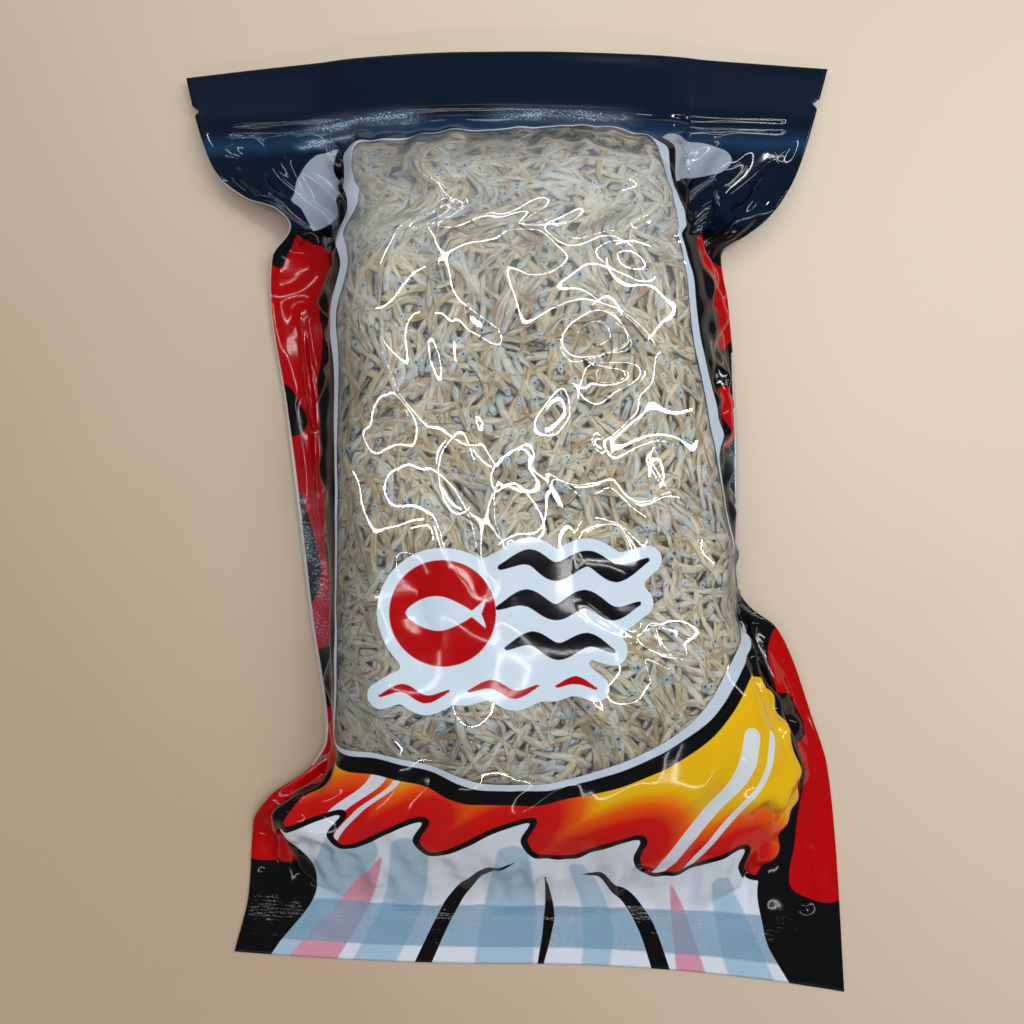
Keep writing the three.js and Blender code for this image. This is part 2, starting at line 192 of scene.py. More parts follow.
@dataclass
class FilmShape:
    """The pouch's film as one surface, front and back, worked out from lines along the pouch."""

    top_edge: float = 173.4
    bottom_edge: float = -174.0
    width: float = 240.0
    step: float = 1.0
    ply: float = 0.4
    least: float = 0.5
    fin_points: int = 14
    arch_points: int = 181
    # The zip's two ridges and the tear notches
    zip_y: float = 150.0
    zip_height: float = 0.88
    zip_spacing: float = 4.4
    zip_reach: float = 1.15
    zip_dip: Pair = (2.8, 1.7)
    zip_ends: Pair = (104, 107)
    zip_middle: float = -2.5
    notch_y: float = 158.5
    notch_depth: float = 2.6
    notch_half_width: float = 2.0
    notch_reach: float = 6.0
    # How the ends bow, how evenly they lie and how the film settles on the table
    half_width: float = 124.0
    top_bow: Pair = (-7.6, -4.4)
    top_bow_from: float = 112.0
    bottom_bow: Pair = (6.0, -10.4)
    bottom_bow_from: float = -100.0
    lump_room: float = 20.0
    even_reach: int = 12
    even_spread: float = 5.0
    even_middle: SoftSpan = SoftSpan((-156, -146), (134, 142))
    settling: Pair = (1.5, 6.0)
    turn_up_share: float = 0.05
    # Ripples and creases: upright ones at the left, lying ones at the right
    filled: SoftSpan = SoftSpan((-160, -148), (138, 150))
    lean: Pair = (-30, 40)
    upright: Ripples = Ripples(1, 20, 3, along=0.35)
    lying: Ripples = Ripples(1, 21, 4, across=0.6)
    upright_creases: Ripples = Ripples(1, 36, 5, along=0.3)
    lying_creases: Ripples = Ripples(1, 38, 6)
    liveliness: Ripples = Ripples(1, 52, 15, count=9)
    liveliness_levels: tuple[float, float, float] = (0.14, 0.4, 0.22)
    side_creases: Ripples = Ripples(1, 30, 9, along=0.5)
    crumples: tuple[Ripples, ...] = (
        Ripples(1.1, 11, 13, along=0.3), Ripples(0.7, 10, 14, along=0.8),
    )
    pleats: Ripples = Ripples(0.5, 9, 8, along=0.22)
    pleat_rows: tuple[tuple[float, float, float], ...] = ((1.0, -140, 13), (0.8, 134, 7))
    header_swell: Ripples = Ripples(0.3, 90, 10, across=0.7)
    seal_swell: Ripples = Ripples(0.1, 12, 12)
    rim_width: float = 5.0
    # Lines along the pouch, in pairs of plan Y and value
    left_seam: SmoothLine = SmoothLine((
        (-174, -107), (-150, -101.5), (-120, -99.5), (-108, -92), (-96, -76), (-87, -71.5),
        (-40, -77.5), (43, -87.4), (84, -93), (97, -91.5), (107, -83), (113, -88),
        (118, -100), (127, -110.5), (142, -116.6), (173.4, -124.5),
    ))
    right_seam: SmoothLine = SmoothLine((
        (-174, 128.2), (-135, 125.5), (-98, 121.3), (-78, 115), (-52, 105), (-43, 99.5),
        (-36, 90), (-30, 86.5), (20, 86.6), (80, 83), (92, 80), (98, 79), (103, 87),
        (109, 95), (118, 102), (130, 108), (173.4, 120.6),
    ))
    left_seam_height: SmoothLine = SmoothLine((
        (-174, 1.8), (-120, 2.4), (-96, 7), (-80, 4), (80, 3.4), (97, 7), (107, 12), (118, 11),
        (142, 9), (173.4, 5),
    ))
    right_seam_height: SmoothLine = SmoothLine((
        (-174, 1.8), (-80, 3), (-50, 7), (-36, 9), (-22, 4.4), (80, 3.4), (94, 7), (103, 12),
        (127, 11), (142, 9), (173.4, 5),
    ))
    left_foot: SmoothLine = SmoothLine((
        (-174, -60), (-152, -62), (-143, -78), (-132, -89), (-118, -91), (-108, -84),
        (-97, -69.5), (-87, -65), (-40, -62.5), (0, -64), (40, -66), (80, -67), (100, -65.5),
        (112, -63), (125, -63), (140, -67), (173.4, -70),
    ))
    right_foot: SmoothLine = SmoothLine((
        (-174, 60), (-152, 72), (-140, 88), (-125, 101), (-98, 108.5), (-79, 101), (-50, 89),
        (-36, 83.5), (0, 82), (50, 79.5), (85, 76), (100, 71), (112, 66), (125, 64), (140, 66),
        (173.4, 70),
    ))
    foot_height: SmoothLine = SmoothLine((
        (-174, 2), (-150, 2.4), (-120, 4), (-90, 8), (-40, 9), (80, 9), (100, 10.5),
        (130, 11.5), (142, 11), (173.4, 7),
    ))
    crown: SmoothLine = SmoothLine((
        (-174, 2.2), (-158, 2.8), (-150, 4.4), (-143, 8), (-135, 15), (-125, 24), (-112, 33),
        (-95, 40), (-70, 44.5), (-30, 46.6), (40, 47), (90, 45.8), (112, 43.6), (123, 40.5),
        (131, 35), (137, 28), (142, 22), (149, 18), (160, 14.5), (173.4, 11),
    ))
    left_boxiness: SmoothLine = SmoothLine((
        (-150, 2), (-120, 2.3), (-90, 3.2), (-50, 4.2), (60, 4.4), (105, 3.8), (128, 2.8),
        (142, 2.1), (173.4, 2),
    ))
    right_boxiness: SmoothLine = SmoothLine((
        (-150, 2), (-120, 2.2), (-90, 2.6), (-50, 3), (60, 2.7), (105, 2.8), (128, 2.5),
        (142, 2.1), (173.4, 2),
    ))
    left_bulge: SmoothLine = SmoothLine((
        (-110, 0), (-80, 3), (0, 3.5), (60, 1), (100, 0),
    ))
    pressed_flat: SmoothLine = SmoothLine((
        (-158, 1), (-147, 0), (118, 0), (124, 0.05), (132, 0.38), (141, 0.84), (148, 1),
    ))
    folds: tuple[Fold, ...] = (
        Fold((-66, 96), (-100, 128), 4, 5),
        Fold((-60, 112), (-84, 138), 3, 5),
        Fold((70, 97), (104, 122), 4.5, 5),
        Fold((60, 112), (92, 140), 3, 5),
        Fold((91, -40), (110, -99), 5, 4.5),
        Fold((110, -99), (84, -106), 3.5, 5),
        Fold((-70, -93), (-96, -118), 4.5, 5),
        Fold((-92, -112), (-60, -124), 3, 6),
        Fold((-6, -122), (22, -146), 3.5, 8),
        Fold((-52, -128), (-38, -150), 2, 6),
        Fold((80, 105), (98, 129), 2.4, 2.2),
        Fold((80, 105), (101, 113), 2.2, 2.4),
        Fold((80, 105), (75, 126), 2.2, 2.6),
        Fold((-106, 132), (-91, 113), 2.2, 2.2),
        Fold((-97, 135), (-88, 113), 1.8, 2.6),
        Fold((-81, 76), (-76, 34), 2.0, 2.0),
        Fold((-77, 44), (-73, -14), 2.0, 1.8),
    )
    caps: tuple[Pair, Pair] = ((45.4, 1.3), (46.3, 1.25))
    f: np.ndarray = field(init=False)
    g: np.ndarray = field(init=False)
    offset: np.ndarray = field(init=False)
    y_of_row: np.ndarray = field(init=False)
    smooth: np.ndarray = field(init=False)
    front: np.ndarray = field(init=False)
    outward: np.ndarray = field(init=False)
    foot_f: np.ndarray = field(init=False)

    def __post_init__(self) -> None:
        """Works out the film's table of points."""
        dense = np.linspace(self.bottom_edge, self.top_edge, 900)
        heights = self.crown(dense)
        along = np.concatenate([[0], np.cumsum(np.hypot(np.diff(dense), np.diff(heights)))])
        along -= np.interp(0, dense, along)
        rows = int((along[-1] - along[0]) / self.step)
        self.g = np.linspace(along[0], along[-1], rows + 1)
        self.y_of_row = np.interp(self.g, along, dense)
        half = self.width / 2
        self.f = np.linspace(-half, half, int(self.width / self.step) + 1)
        self.smooth = self._stretched()
        self.front = self.smooth.copy()
        self.outward = self._normals(self.front)

    def _sections(self) -> tuple[np.ndarray, np.ndarray, np.ndarray]:
        """Each row's section from seam to seam.

        Returns:
            X and Z of the points, a row each, and the two columns where the feet lie.
        """
        y = self.y_of_row[:, None]
        low = self.foot_height(y)
        left, right = self.left_foot(y), self.right_foot(y)
        t = np.linspace(0, 1, self.fin_points)[None, :-1]
        angle = np.linspace(math.pi, 0, self.arch_points)[None, :]
        power = 2 / np.where(angle > math.pi / 2, self.left_boxiness(y), self.right_boxiness(y))
        rise = np.clip(np.sin(angle), 0, 1) ** power
        cosine = np.cos(angle)
        bulge = np.where(angle > math.pi / 2, 4 * self.left_bulge(y) * rise * (1 - rise), 0)
        reach = (right - left) / 2 * np.sign(cosine) * np.abs(cosine) ** power
        x = [
            self.left_seam(y) + (left - self.left_seam(y)) * t,
            (left + right) / 2 + reach - bulge,
            (self.right_seam(y) + (right - self.right_seam(y)) * t)[:, ::-1],
        ]
        left_height, right_height = self.left_seam_height(y), self.right_seam_height(y)
        z = [
            left_height + (low - left_height) * t**2,
            low + (self.crown(y) - low) * rise,
            (right_height + (low - right_height) * t**2)[:, ::-1],
        ]
        feet = np.array([t.size, t.size + angle.size - 1])
        return np.hstack(x), np.hstack(z), feet

    def _stretched(self) -> np.ndarray:
        """The front film with its folds, before any wrinkles.

        Returns:
            Its points, by row and column.
        """
        x, z, feet = self._sections()
        length = np.hypot(np.diff(x), np.diff(z)).cumsum(axis=1)
        length = np.hstack([np.zeros((len(x), 1)), length])
        wanted = (self.f + self.width / 2) / self.width
        points = np.zeros((len(self.g), len(self.f), 3))
        share = length / length[:, -1:]
        for row in range(len(self.g)):
            points[row, :, 0] = np.interp(wanted, share[row], x[row])
            points[row, :, 2] = np.interp(wanted, share[row], z[row])
        self.foot_f = share[:, feet] * self.width - self.width / 2
        x, y = points[..., 0], np.broadcast_to(self.y_of_row[:, None], points.shape[:2])
        raised = np.clip((points[..., 2] - self.foot_height(y)) / self.lump_room, 0, 1)
        points[..., 2] += raised * self._lumps(x, y)
        side = x / self.half_width
        top, bottom = (np.where(side < 0, *bow) for bow in (self.top_bow, self.bottom_bow))
        at_top = smooth_step(self.top_bow_from, self.top_edge, y)
        at_bottom = 1 - smooth_step(self.bottom_edge, self.bottom_bow_from, y)
        points[..., 1] = y + side**2 * (at_top * top + at_bottom * bottom)
        points[..., 2] += sum(fold.height_at(x, y) for fold in self.folds)
        height = self._evened(self._capped(points[..., 2], *self.caps[0]), y)
        points[..., 2] = height - 1 + smooth_step(*self.settling, height)
        notch = self.notch_depth * np.clip(1 - abs(y - self.notch_y) / self.notch_half_width, 0, 1)
        near_seam = np.clip(1 - (self.width / 2 - abs(self.f)) / self.notch_reach, 0, 1) ** 2
        points[..., 0] -= np.sign(self.f) * near_seam * notch
        return points

    @staticmethod
    def _lumps(x: np.ndarray, y: np.ndarray) -> np.ndarray:
        """Height of the heap's broad lumps, which the film follows."""
        swell = 0.7 * np.sin(x / 11 + y / 23) * np.sin(y / 17 - x / 31)
        return swell + 0.4 * np.sin(x / 7 - y / 9)

    def _evened(self, height: np.ndarray, y: np.ndarray) -> np.ndarray:
        """Heights evened out across the film in the header and the lower seal.

        Args:
            height: the film's height, by row and column.
            y: plan Y of the places.

        Returns:
            The heights, with those of the filled middle as they were.
        """
        reach = self.even_reach
        kernel = np.exp(-((np.arange(-reach, reach + 1) / self.even_spread) ** 2))
        kernel /= kernel.sum()
        wide = np.pad(height, ((0, 0), (reach, reach)), "edge")
        even = np.array([np.convolve(row, kernel, "valid") for row in wide])
        kept = self.even_middle(y)
        return height * kept + even * (1 - kept)

    @staticmethod
    def _capped(height: np.ndarray, level: float, room: float) -> np.ndarray:
        """Heights eased so that none goes past a level by more than some room."""
        return np.where(height > level, level + room * np.tanh((height - level) / room), height)

    @staticmethod
    def _folded(value: np.ndarray, roundness: float = 0.16) -> np.ndarray:
        """Values without their sign, rounded where they cross 0."""
        return np.hypot(value, roundness)

    @staticmethod
    def _normals(points: np.ndarray) -> np.ndarray:
        """Outward directions of a table of points.

        Args:
            points: the table, by row and column.

        Returns:
            A unit vector for each point.
        """
        across = np.gradient(points, axis=1)
        along = np.gradient(points, axis=0)
        outward = np.cross(across, along)
        return outward / np.maximum(np.linalg.norm(outward, axis=2, keepdims=True), 1e-9)

    def find(self, table: np.ndarray, f: np.ndarray, g: np.ndarray) -> np.ndarray:
        """Reads a table between its points.

        Args:
            table: values by row and column.
            f: places across the film.
            g: places along the film.

        Returns:
            The value at each place.
        """
        column = np.clip((f - self.f[0]) / (self.f[1] - self.f[0]), 0, len(self.f) - 1.001)
        row = np.clip((g - self.g[0]) / (self.g[1] - self.g[0]), 0, len(self.g) - 1.001)
        c, r = column.astype(int), row.astype(int)
        s, t = (column - c)[..., None], (row - r)[..., None]
        values = table if table.ndim == 3 else table[..., None]
        low = values[r, c] * (1 - s) + values[r, c + 1] * s
        high = values[r + 1, c] * (1 - s) + values[r + 1, c + 1] * s
        found = low * (1 - t) + high * t
        return found if table.ndim == 3 else found[..., 0]

    def wrinkle(self, window: "WindowPlan") -> None:
        """Gives the front film its ripples and pleats, finer than its folds.

        Args:
            window: where the film is clear and clings to the fish.
        """
        f, g = np.meshgrid(self.f, self.g)
        y = self.smooth[..., 1]
        beyond = window.window(f, g)
        inside = 1 - smooth_step(-3, 5, beyond)
        header = smooth_step(*self.filled.fall, y)
        seal = 1 - smooth_step(*self.filled.rise, y)
        flank = (1 - inside) * (1 - header) * (1 - seal)
        lean = smooth_step(*self.lean, f)
        upright = self.upright(f, g)
        loops = (1 - lean) * upright + lean * self.lying(f, g)
        creases = (1 - lean) * self.upright_creases(f, g) + lean * self.lying_creases(f, g)
        steep = flank * smooth_step(2, 7, beyond - np.where(f < 0, 4, 0)) * (
            1 - smooth_step(0.45, 0.85, self.outward[..., 2]))
        least, more, at_top = self.liveliness_levels
        lively = least + more * smooth_step(-0.6, 0.8, self.liveliness(f, g) + g / 70)
        lively += at_top * smooth_step(70, 105, g)
        pleats = self.pleats(f, g) * sum(
            share * np.exp(-(((y - middle) / reach) ** 2))
            for share, middle, reach in self.pleat_rows
        )
        offset = inside * (lively * loops - 0.25 * self._folded(creases, 0.5) + 0.1)
        offset += flank * (0.3 * upright - 0.5 * self._folded(self.side_creases(f, g)) + 0.2)
        offset += steep * sum(crumples(f, g) for crumples in self.crumples)
        offset += header * self.header_swell(f, g)
        offset += pleats * (1 - seal) + seal * self.seal_swell(f, g)
        rim = np.minimum(self.width / 2 - abs(f), np.minimum(self.g[-1] - g, g - self.g[0]))
        offset *= smooth_step(0, self.rim_width, rim)
        self.front = self.smooth + offset[..., None] * self.outward
        self._press_zip(f, np.broadcast_to(self.y_of_row[:, None], f.shape))
        self.front[..., 2] = np.maximum(self._capped(self.front[..., 2], *self.caps[1]), self.least)
        self.offset = ((self.front - self.smooth) * self.outward).sum(axis=2)

    def _press_zip(self, f: np.ndarray, row_y: np.ndarray) -> None:
        """Raises the zip's two ridges in the front film.

        Args:
            f: places across the film.
            row_y: plan Y of each row at its middle.
        """
        deep, less = self.zip_dip
        dip = deep - less * (2 * f / self.width) ** 2
        across = 1 - smooth_step(*self.zip_ends, abs(self.front[..., 0] - self.zip_middle))
        for line in (-0.5, 0.5):
            away = (row_y + dip - self.zip_y - line * self.zip_spacing) / self.zip_reach
            self.front[..., 2] += self.zip_height * across * np.exp(-(away**2))

    def gap(self, f: np.ndarray, g: np.ndarray) -> np.ndarray:
        """How far the front film lies above the back film."""
        return self.find(self.smooth, f, g)[..., 2] - self.back(f, g)[..., 2]

    def back(self, f: np.ndarray, g: np.ndarray) -> np.ndarray:
        """The back film: against the front in the fins, flat on the table under the fish.

        Args:
            f: places across the film.
            g: places along the film.

        Returns:
            The point of each place.
        """
        y = np.interp(g, self.g, self.y_of_row)
        pressed = self.find(self.front, f, g)
        pressed[..., 2] = np.maximum(pressed[..., 2] - self.ply, 0)
        left, right = (np.interp(g, self.g, self.foot_f[:, i]) for i in (0, 1))
        share = np.clip((f - left) / (right - left), 0, 1)
        resting = pressed.copy()
        resting[..., 0] = self.left_foot(y) * (1 - share) + self.right_foot(y) * share
        turn_up = np.clip(1 - np.minimum(share, 1 - share) / self.turn_up_share, 0, 1) ** 2
        foot = self.find(self.front, np.where(share < 0.5, left, right), g)[..., 2]
        resting[..., 2] = np.maximum(foot - self.ply, 0) * turn_up
        free = (share > 0) & (share < 1)
        flat = np.where(free, self.pressed_flat(y), 1)[..., None]
        return resting * (1 - flat) + pressed * flat


def curve_through(points: Sequence[Pair], closed: bool = False, steps: int = 8) -> np.ndarray:
    """A smooth line through points.

    Args:
        points: what it passes through.
        closed: whether it comes back to its first point.
        steps: pieces between two points.

    Returns:
        The line's points, a row each.
    """
    keys = np.array(points, float)
    if closed:
        keys = np.vstack([keys[-1:], keys, keys[:2]])
    else:
        keys = np.vstack([2 * keys[0] - keys[1], keys, 2 * keys[-1] - keys[-2]])
    a, b, c, d = (keys[i:len(keys) - 3 + i, None] for i in range(4))
    t = np.linspace(0, 1, steps, endpoint=False)[None, :, None]
    line = 2 * b + (c - a) * t + (2 * a - 5 * b + 4 * c - d) * t**2
    line = ((line + (3 * b - a - 3 * c + d) * t**3) / 2).reshape(-1, 2)
    return line if closed else np.vstack([line, keys[-2]])


@dataclass(frozen=True)
class InkShape:
    """A shape of the print: a closed field, or a stroke that swells and tapers."""

    points: tuple[Pair, ...]
    width: Optional[tuple[float, ...]] = None
    smooth: bool = True

    def distance(self, f: np.ndarray, g: np.ndarray, reach: float = 14.0) -> np.ndarray:
        """How far places lie outside the shape, negative inside it.

        Args:
            f: places across the film.
            g: places along the film.
            reach: beyond this distance the answer may be rough.

        Returns:
            The distance of each place.
        """
        closed = self.width is None
        keys = np.array(self.points, float)
        line = curve_through(self.points, closed) if self.smooth else keys
        if closed:
            line = np.vstack([line, line[:1]])
            half = np.zeros(len(line))
        else:
            at = np.linspace(0, len(line) - 1, len(self.width))
            half = np.interp(np.arange(len(line)), at, self.width) / 2
        low, high = line.min(axis=0) - reach, line.max(axis=0) + reach
        flat_f, flat_g = np.ravel(f), np.ravel(g)
        near = (flat_f > low[0]) & (flat_f < high[0]) & (flat_g > low[1]) & (flat_g < high[1])
        x, y = flat_f[near], flat_g[near]
        least = np.full(x.shape, 1e3)
        inside = np.zeros(x.shape, bool)
        for (ax, ay), (bx, by), start, end in zip(line[:-1], line[1:], half[:-1], half[1:]):
            run = max((bx - ax) ** 2 + (by - ay) ** 2, 1e-9)
            t = np.clip(((x - ax) * (bx - ax) + (y - ay) * (by - ay)) / run, 0, 1)
            gap = np.hypot(x - ax - t * (bx - ax), y - ay - t * (by - ay))
            least = np.minimum(least, gap - start - t * (end - start))
            if closed and ay != by:
                crosses = ((ay > y) != (by > y)) & (x < ax + (y - ay) * (bx - ax) / (by - ay))
                inside ^= crosses
        result = np.full(flat_f.shape, float(reach))
        result[near] = np.where(inside, -least, least)
        return result.reshape(np.shape(f))


def nearest(shapes: Iterable[InkShape], f: np.ndarray, g: np.ndarray) -> np.ndarray:
    """Distance outside the nearest of some shapes, negative inside one."""
    return np.minimum.reduce([shape.distance(f, g) for shape in shapes])


@dataclass(frozen=True)
class WindowPlan:
    """The clear window's outline on the film, and the badge printed in it."""

    outline: InkShape = InkShape((
        (-50, 139.5), (-36, 142.5), (-18, 146), (2, 148), (22, 149), (42, 148.5), (53, 146.5),
        (56.5, 140), (56.5, 131), (57, 124), (58, 117), (61, 110), (69, 104), (77, 98.5),
        (77.5, 93), (76, 87), (75, 76), (75, 61),
        (76.5, 50), (79, 39), (82, 26), (86, 12), (91, -3), (97, -17), (100, -28), (95, -37),
        (85, -44), (75, -50), (66, -57), (59, -64), (50, -71.5), (40, -78), (28, -84),
        (14, -89), (0, -93.5), (-14, -96), (-28, -96), (-42, -93), (-56, -88.5), (-72, -85.5),
        (-86, -85), (-91, -82), (-88, -76), (-82, -62), (-77, -45), (-71.5, -22), (-67.5, 0),
        (-65.5, 22), (-64, 40), (-62, 56), (-61.5, 71), (-58, 80), (-56, 88), (-59, 96),
        (-66, 104), (-64.5, 111), (-58.5, 118), (-56, 127), (-54.5, 135),
    ))
    disc: Pair = (-24, -35)
    disc_radius: float = 18.5
    rim: float = 4.1
    joining: float = 1.9
    strokes: tuple[InkShape, ...] = (
        InkShape(((-4, -19), (6, -15.5), (15, -20.5), (26, -16), (36, -21), (47, -16.5)),
                 (2, 5.5, 6.5, 5.5, 6.5, 1.5)),
        InkShape(((-5, -33), (5, -29.5), (15, -34.5), (25, -30), (35, -35), (44, -31.5)),
                 (1.5, 6, 5.5, 6.5, 5, 1.5)),
        InkShape(((-2, -47), (7, -43.5), (16, -48), (26, -44), (35, -48)), (1.5, 5, 6, 5, 1.5)),
    )
    dashes: tuple[InkShape, ...] = (
        InkShape(((-46, -64), (-38, -61), (-30, -65), (-22, -62)), (1, 3, 3, 1)),
        InkShape(((-15, -62), (-7, -59.5), (1, -63), (9, -60)), (1, 3.2, 3, 1)),
        InkShape(((15, -60.5), (22, -58), (29, -61)), (1, 3, 1)),
    )
    ground: InkShape = InkShape(((-8, -54.5), (3, -53), (13, -54)), (2, 3.4, 2))
    fish: tuple[InkShape, ...] = (
        InkShape(((-37, -35), (-32, -30.5), (-25, -29), (-18, -31.5), (-13.5, -35), (-18, -38.5),
                  (-25, -41), (-32, -39.5))),
        InkShape(((-15, -35), (-8.5, -29.5), (-10.5, -35), (-8.5, -40.5)), smooth=False),
    )

    def window(self, f: np.ndarray, g: np.ndarray) -> np.ndarray:
        """Distance outside the window's outline, negative inside it."""
        return self.outline.distance(f, g, reach=40)

    def red_disc(self, x: np.ndarray, y: np.ndarray) -> np.ndarray:
        """Distance in plan outside the badge's disc, negative inside it."""
        return np.hypot(x - self.disc[0], y - self.disc[1]) - self.disc_radius

    def badge(self, x: np.ndarray, y: np.ndarray) -> np.ndarray:
        """Distance in plan outside the badge's white ground, negative inside it.

        Args:
            x: plan X of the places.
            y: plan Y of the places.

        Returns:
            The distance of each place.
        """
        marks = [mark.distance(x, y) for mark in (*self.strokes, *self.dashes, self.ground)]
        near = sum(np.exp(-mark / self.joining) for mark in (self.red_disc(x, y), *marks))
        return -self.joining * np.log(near) - self.rim


@dataclass(frozen=True)
class EmbossAndPaintedGlints:
    """Where the embossed flecks lie, under the zip and at both sides, with painted glints on them."""

    band_at: float = 155.4
    band_reach: float = 3.6
    band_spans: tuple[SoftSpan, ...] = (
        SoftSpan((-84, -72), (-38, -26)), SoftSpan((-12, 2), (40, 56)),
    )
    band_swell: Ripples = Ripples(1, 9, 64, across=0.4, along=2)
    rows: tuple[tuple[float, SoftSpan], ...] = (
        (148.4, SoftSpan((-84, -78), (-62, -54))), (145.0, SoftSpan((-87, -83), (-77, -72))),
    )
    row_reach: float = 1.8
    left: SoftSpan = SoftSpan((-70, -46), (-8, 24))
    right: SoftSpan = SoftSpan((-44, -22), (20, 44))
    side_from: Pair = (90, 104)
    side_swell: Ripples = Ripples(1, 16, 62)

    def __call__(self, f: np.ndarray, g: np.ndarray) -> np.ndarray:
        """How thickly the embossed flecks and their painted glints lie, from 0 to 1.

        Args:
            f: places across the film.
            g: places along the film.

        Returns:
            The share of each place.
        """
        cloud = sum(span(f) for span in self.band_spans)
        cloud *= np.exp(-(((g - self.band_at) / self.band_reach) ** 2))
        cloud *= 0.7 + 0.3 * smooth_step(-0.7, 0.7, self.band_swell(f, g))
        for middle, span in self.rows:
            cloud += np.exp(-(((g - middle) / self.row_reach) ** 2)) * span(f)
        sides = 0.6 * self.left(g) * smooth_step(*self.side_from, -f)
        sides += 0.7 * self.right(g) * smooth_step(*self.side_from, f)
        return cloud + sides * (0.5 + 0.5 * smooth_step(-0.6, 0.8, self.side_swell(f, g)))


@dataclass(frozen=True)
class PrintPlan:
    """The printed fields of the pouch's front."""

    window: WindowPlan = WindowPlan()
    emboss_and_painted_glints: EmbossAndPaintedGlints = EmbossAndPaintedGlints()
    margin: float = 1.3
    header_y: float = 138.0
    header_drop: float = 32.0
    header_sides: Pair = (68, 92)
    seal_y: float = -171.0
    seal_half: float = 8.5
    band: float = 8.5
    wave_line: float = 2.6
    glow_reach: float = 26.0
    half_width: float = 120.0
    left_edge: Pair = (20, 117)
    right_edge: Pair = (16, 46)
    # Width of the pale line round the window, in pairs of g and value
    left_line: SmoothLine = SmoothLine((
        (-100, 2.6), (-60, 1.4), (20, 1.4), (34, 2.4), (46, 3), (60, 4), (74, 4.6), (88, 4.6),
        (100, 5), (112, 6), (132, 6.5), (139, 2.2), (146, 0.8),
    ))
    right_line: SmoothLine = SmoothLine((
        (-100, 2.6), (-80, 3), (-70, 4.2), (-50, 4.6), (-40, 3), (-20, 1.2), (18, 1.2), (28, 6),
        (40, 5), (55, 3.6), (84, 2.8), (92, 1.6), (99, 1.4), (104, 2.2), (111, 3.4), (118, 4),
        (132, 4), (139, 3), (146, 0.8),
    ))
    reds: tuple[InkShape, ...] = (
        InkShape(((-115, 104), (-106, 101), (-95, 98), (-90, 90), (-93, 83), (-99, 77),
                  (-99, 68), (-102, 58), (-105, 49), (-104, 42), (-97, 32), (-90, 22), (-85, 10),
                  (-83, -3), (-87, -18), (-93, -34), (-104, -46), (-117, -52), (-123, -52),
                  (-123, -40), (-116, -32), (-113, -23), (-114, -12), (-116, 0), (-118, 8),
                  (-123, 16), (-123, 60), (-123, 92), (-115, 93), (-113, 99))),
        InkShape(((90, 110), (95, 105), (104, 97), (123, 91), (123, 72), (119, 65), (110, 60),
                  (97, 64), (94, 74), (91, 84), (89, 94))),
        InkShape(((90, 45), (108, 43), (123, 44), (123, 36), (113, 28), (90, 22), (87, 34))),
        InkShape(((-123, -76), (-102, -76), (-96, -83), (-101, -90), (-123, -92))),
        InkShape(((112, -51), (123, -47), (123, -100), (124, -150), (101, -151), (105, -126),
                  (109, -100), (107, -76), (108, -62))),
        InkShape(((-102, -92), (-114, -92), (-124, -104), (-124, -141), (-98, -140),
                  (-103, -122), (-107, -106))),
    )
    blots: tuple[InkShape, ...] = (
        InkShape(((-121, 44), (-119, 36)), (11, 14)),
        InkShape(((108, -75), (108, -80)), (14, 16)),
    )
    lower_area: InkShape = InkShape((
        (-90, -70), (-99, -100), (-101, -120), (-93, -137), (-94, -160), (-102, -200), (0, -215),
        (96, -200), (90, -170), (88, -150), (98, -126), (100, -100), (97, -78), (88, -58),
        (0, -40),
    ))
    waves: InkShape = InkShape((
        (-110, -124), (-96, -121), (-84, -114), (-77, -112), (-80, -121), (-76, -128),
        (-66, -126), (-54, -117), (-46, -113), (-48, -123), (-43, -131), (-32, -128),
        (-18, -117), (-8, -112), (-9, -122), (-4, -131), (8, -133), (22, -126), (34, -122),
        (33, -133), (39, -143), (52, -143), (66, -134), (76, -129), (76, -140), (84, -148),
        (110, -150), (110, -230), (-110, -230),
    ))
    rays: tuple[InkShape, ...] = (
        InkShape(((40, -150), (70, -80)), (5, 7)),
        InkShape(((50, -150), (80, -80)), (2.2, 3)),
        InkShape(((-88, -130), (-68, -85)), (5, 6.5)),
        InkShape(((-80, -130), (-60, -85)), (2, 2.8)),
    )
    pink: tuple[InkShape, ...] = (
        InkShape(((-96, -200), (-76, -162), (-62, -134)), (20, 11, 1)),
        InkShape(((64, -205), (56, -172), (50, -150)), (15, 8, 1)),
    )
    blue: tuple[InkShape, ...] = (
        InkShape(((-112, -200), (-88, -160), (-72, -128)), (22, 24, 20)),
        InkShape(((-70, -200), (-58, -165), (-50, -128)), (16, 16, 14)),
        InkShape(((-14, -205), (-14, -168), (-12, -130)), (24, 22, 12)),
        InkShape(((20, -205), (22, -172), (12, -138)), (10, 12, 6)),
        InkShape(((92, -205), (80, -178), (70, -148)), (18, 16, 8)),
    )
    black: tuple[InkShape, ...] = (
        InkShape(((-47, -190), (-38, -163), (-24, -142), (-12, -134)), (6.5, 6, 3.5, 0.6)),
        InkShape(((0, -190), (2, -168), (0, -146)), (2, 4.5, 0.6)),
        InkShape(((50, -192), (40, -168), (24, -148), (14, -142)), (7, 6.5, 3.5, 0.6)),
    )
    patches: tuple[InkShape, ...] = (
        InkShape(((-71, 142.5), (-80, 138), (-87, 131), (-98, 121), (-108, 115), (-112, 109),
                  (-109, 105), (-104, 108), (-96, 112), (-87, 113.5), (-79, 113), (-76.5, 119),
                  (-77, 126), (-75.5, 132), (-72.5, 138))),
        InkShape(((60, 146), (75, 147), (84, 145.5), (91, 140), (94, 133), (90, 127), (80, 126),
                  (70, 123), (60, 120))),
    )

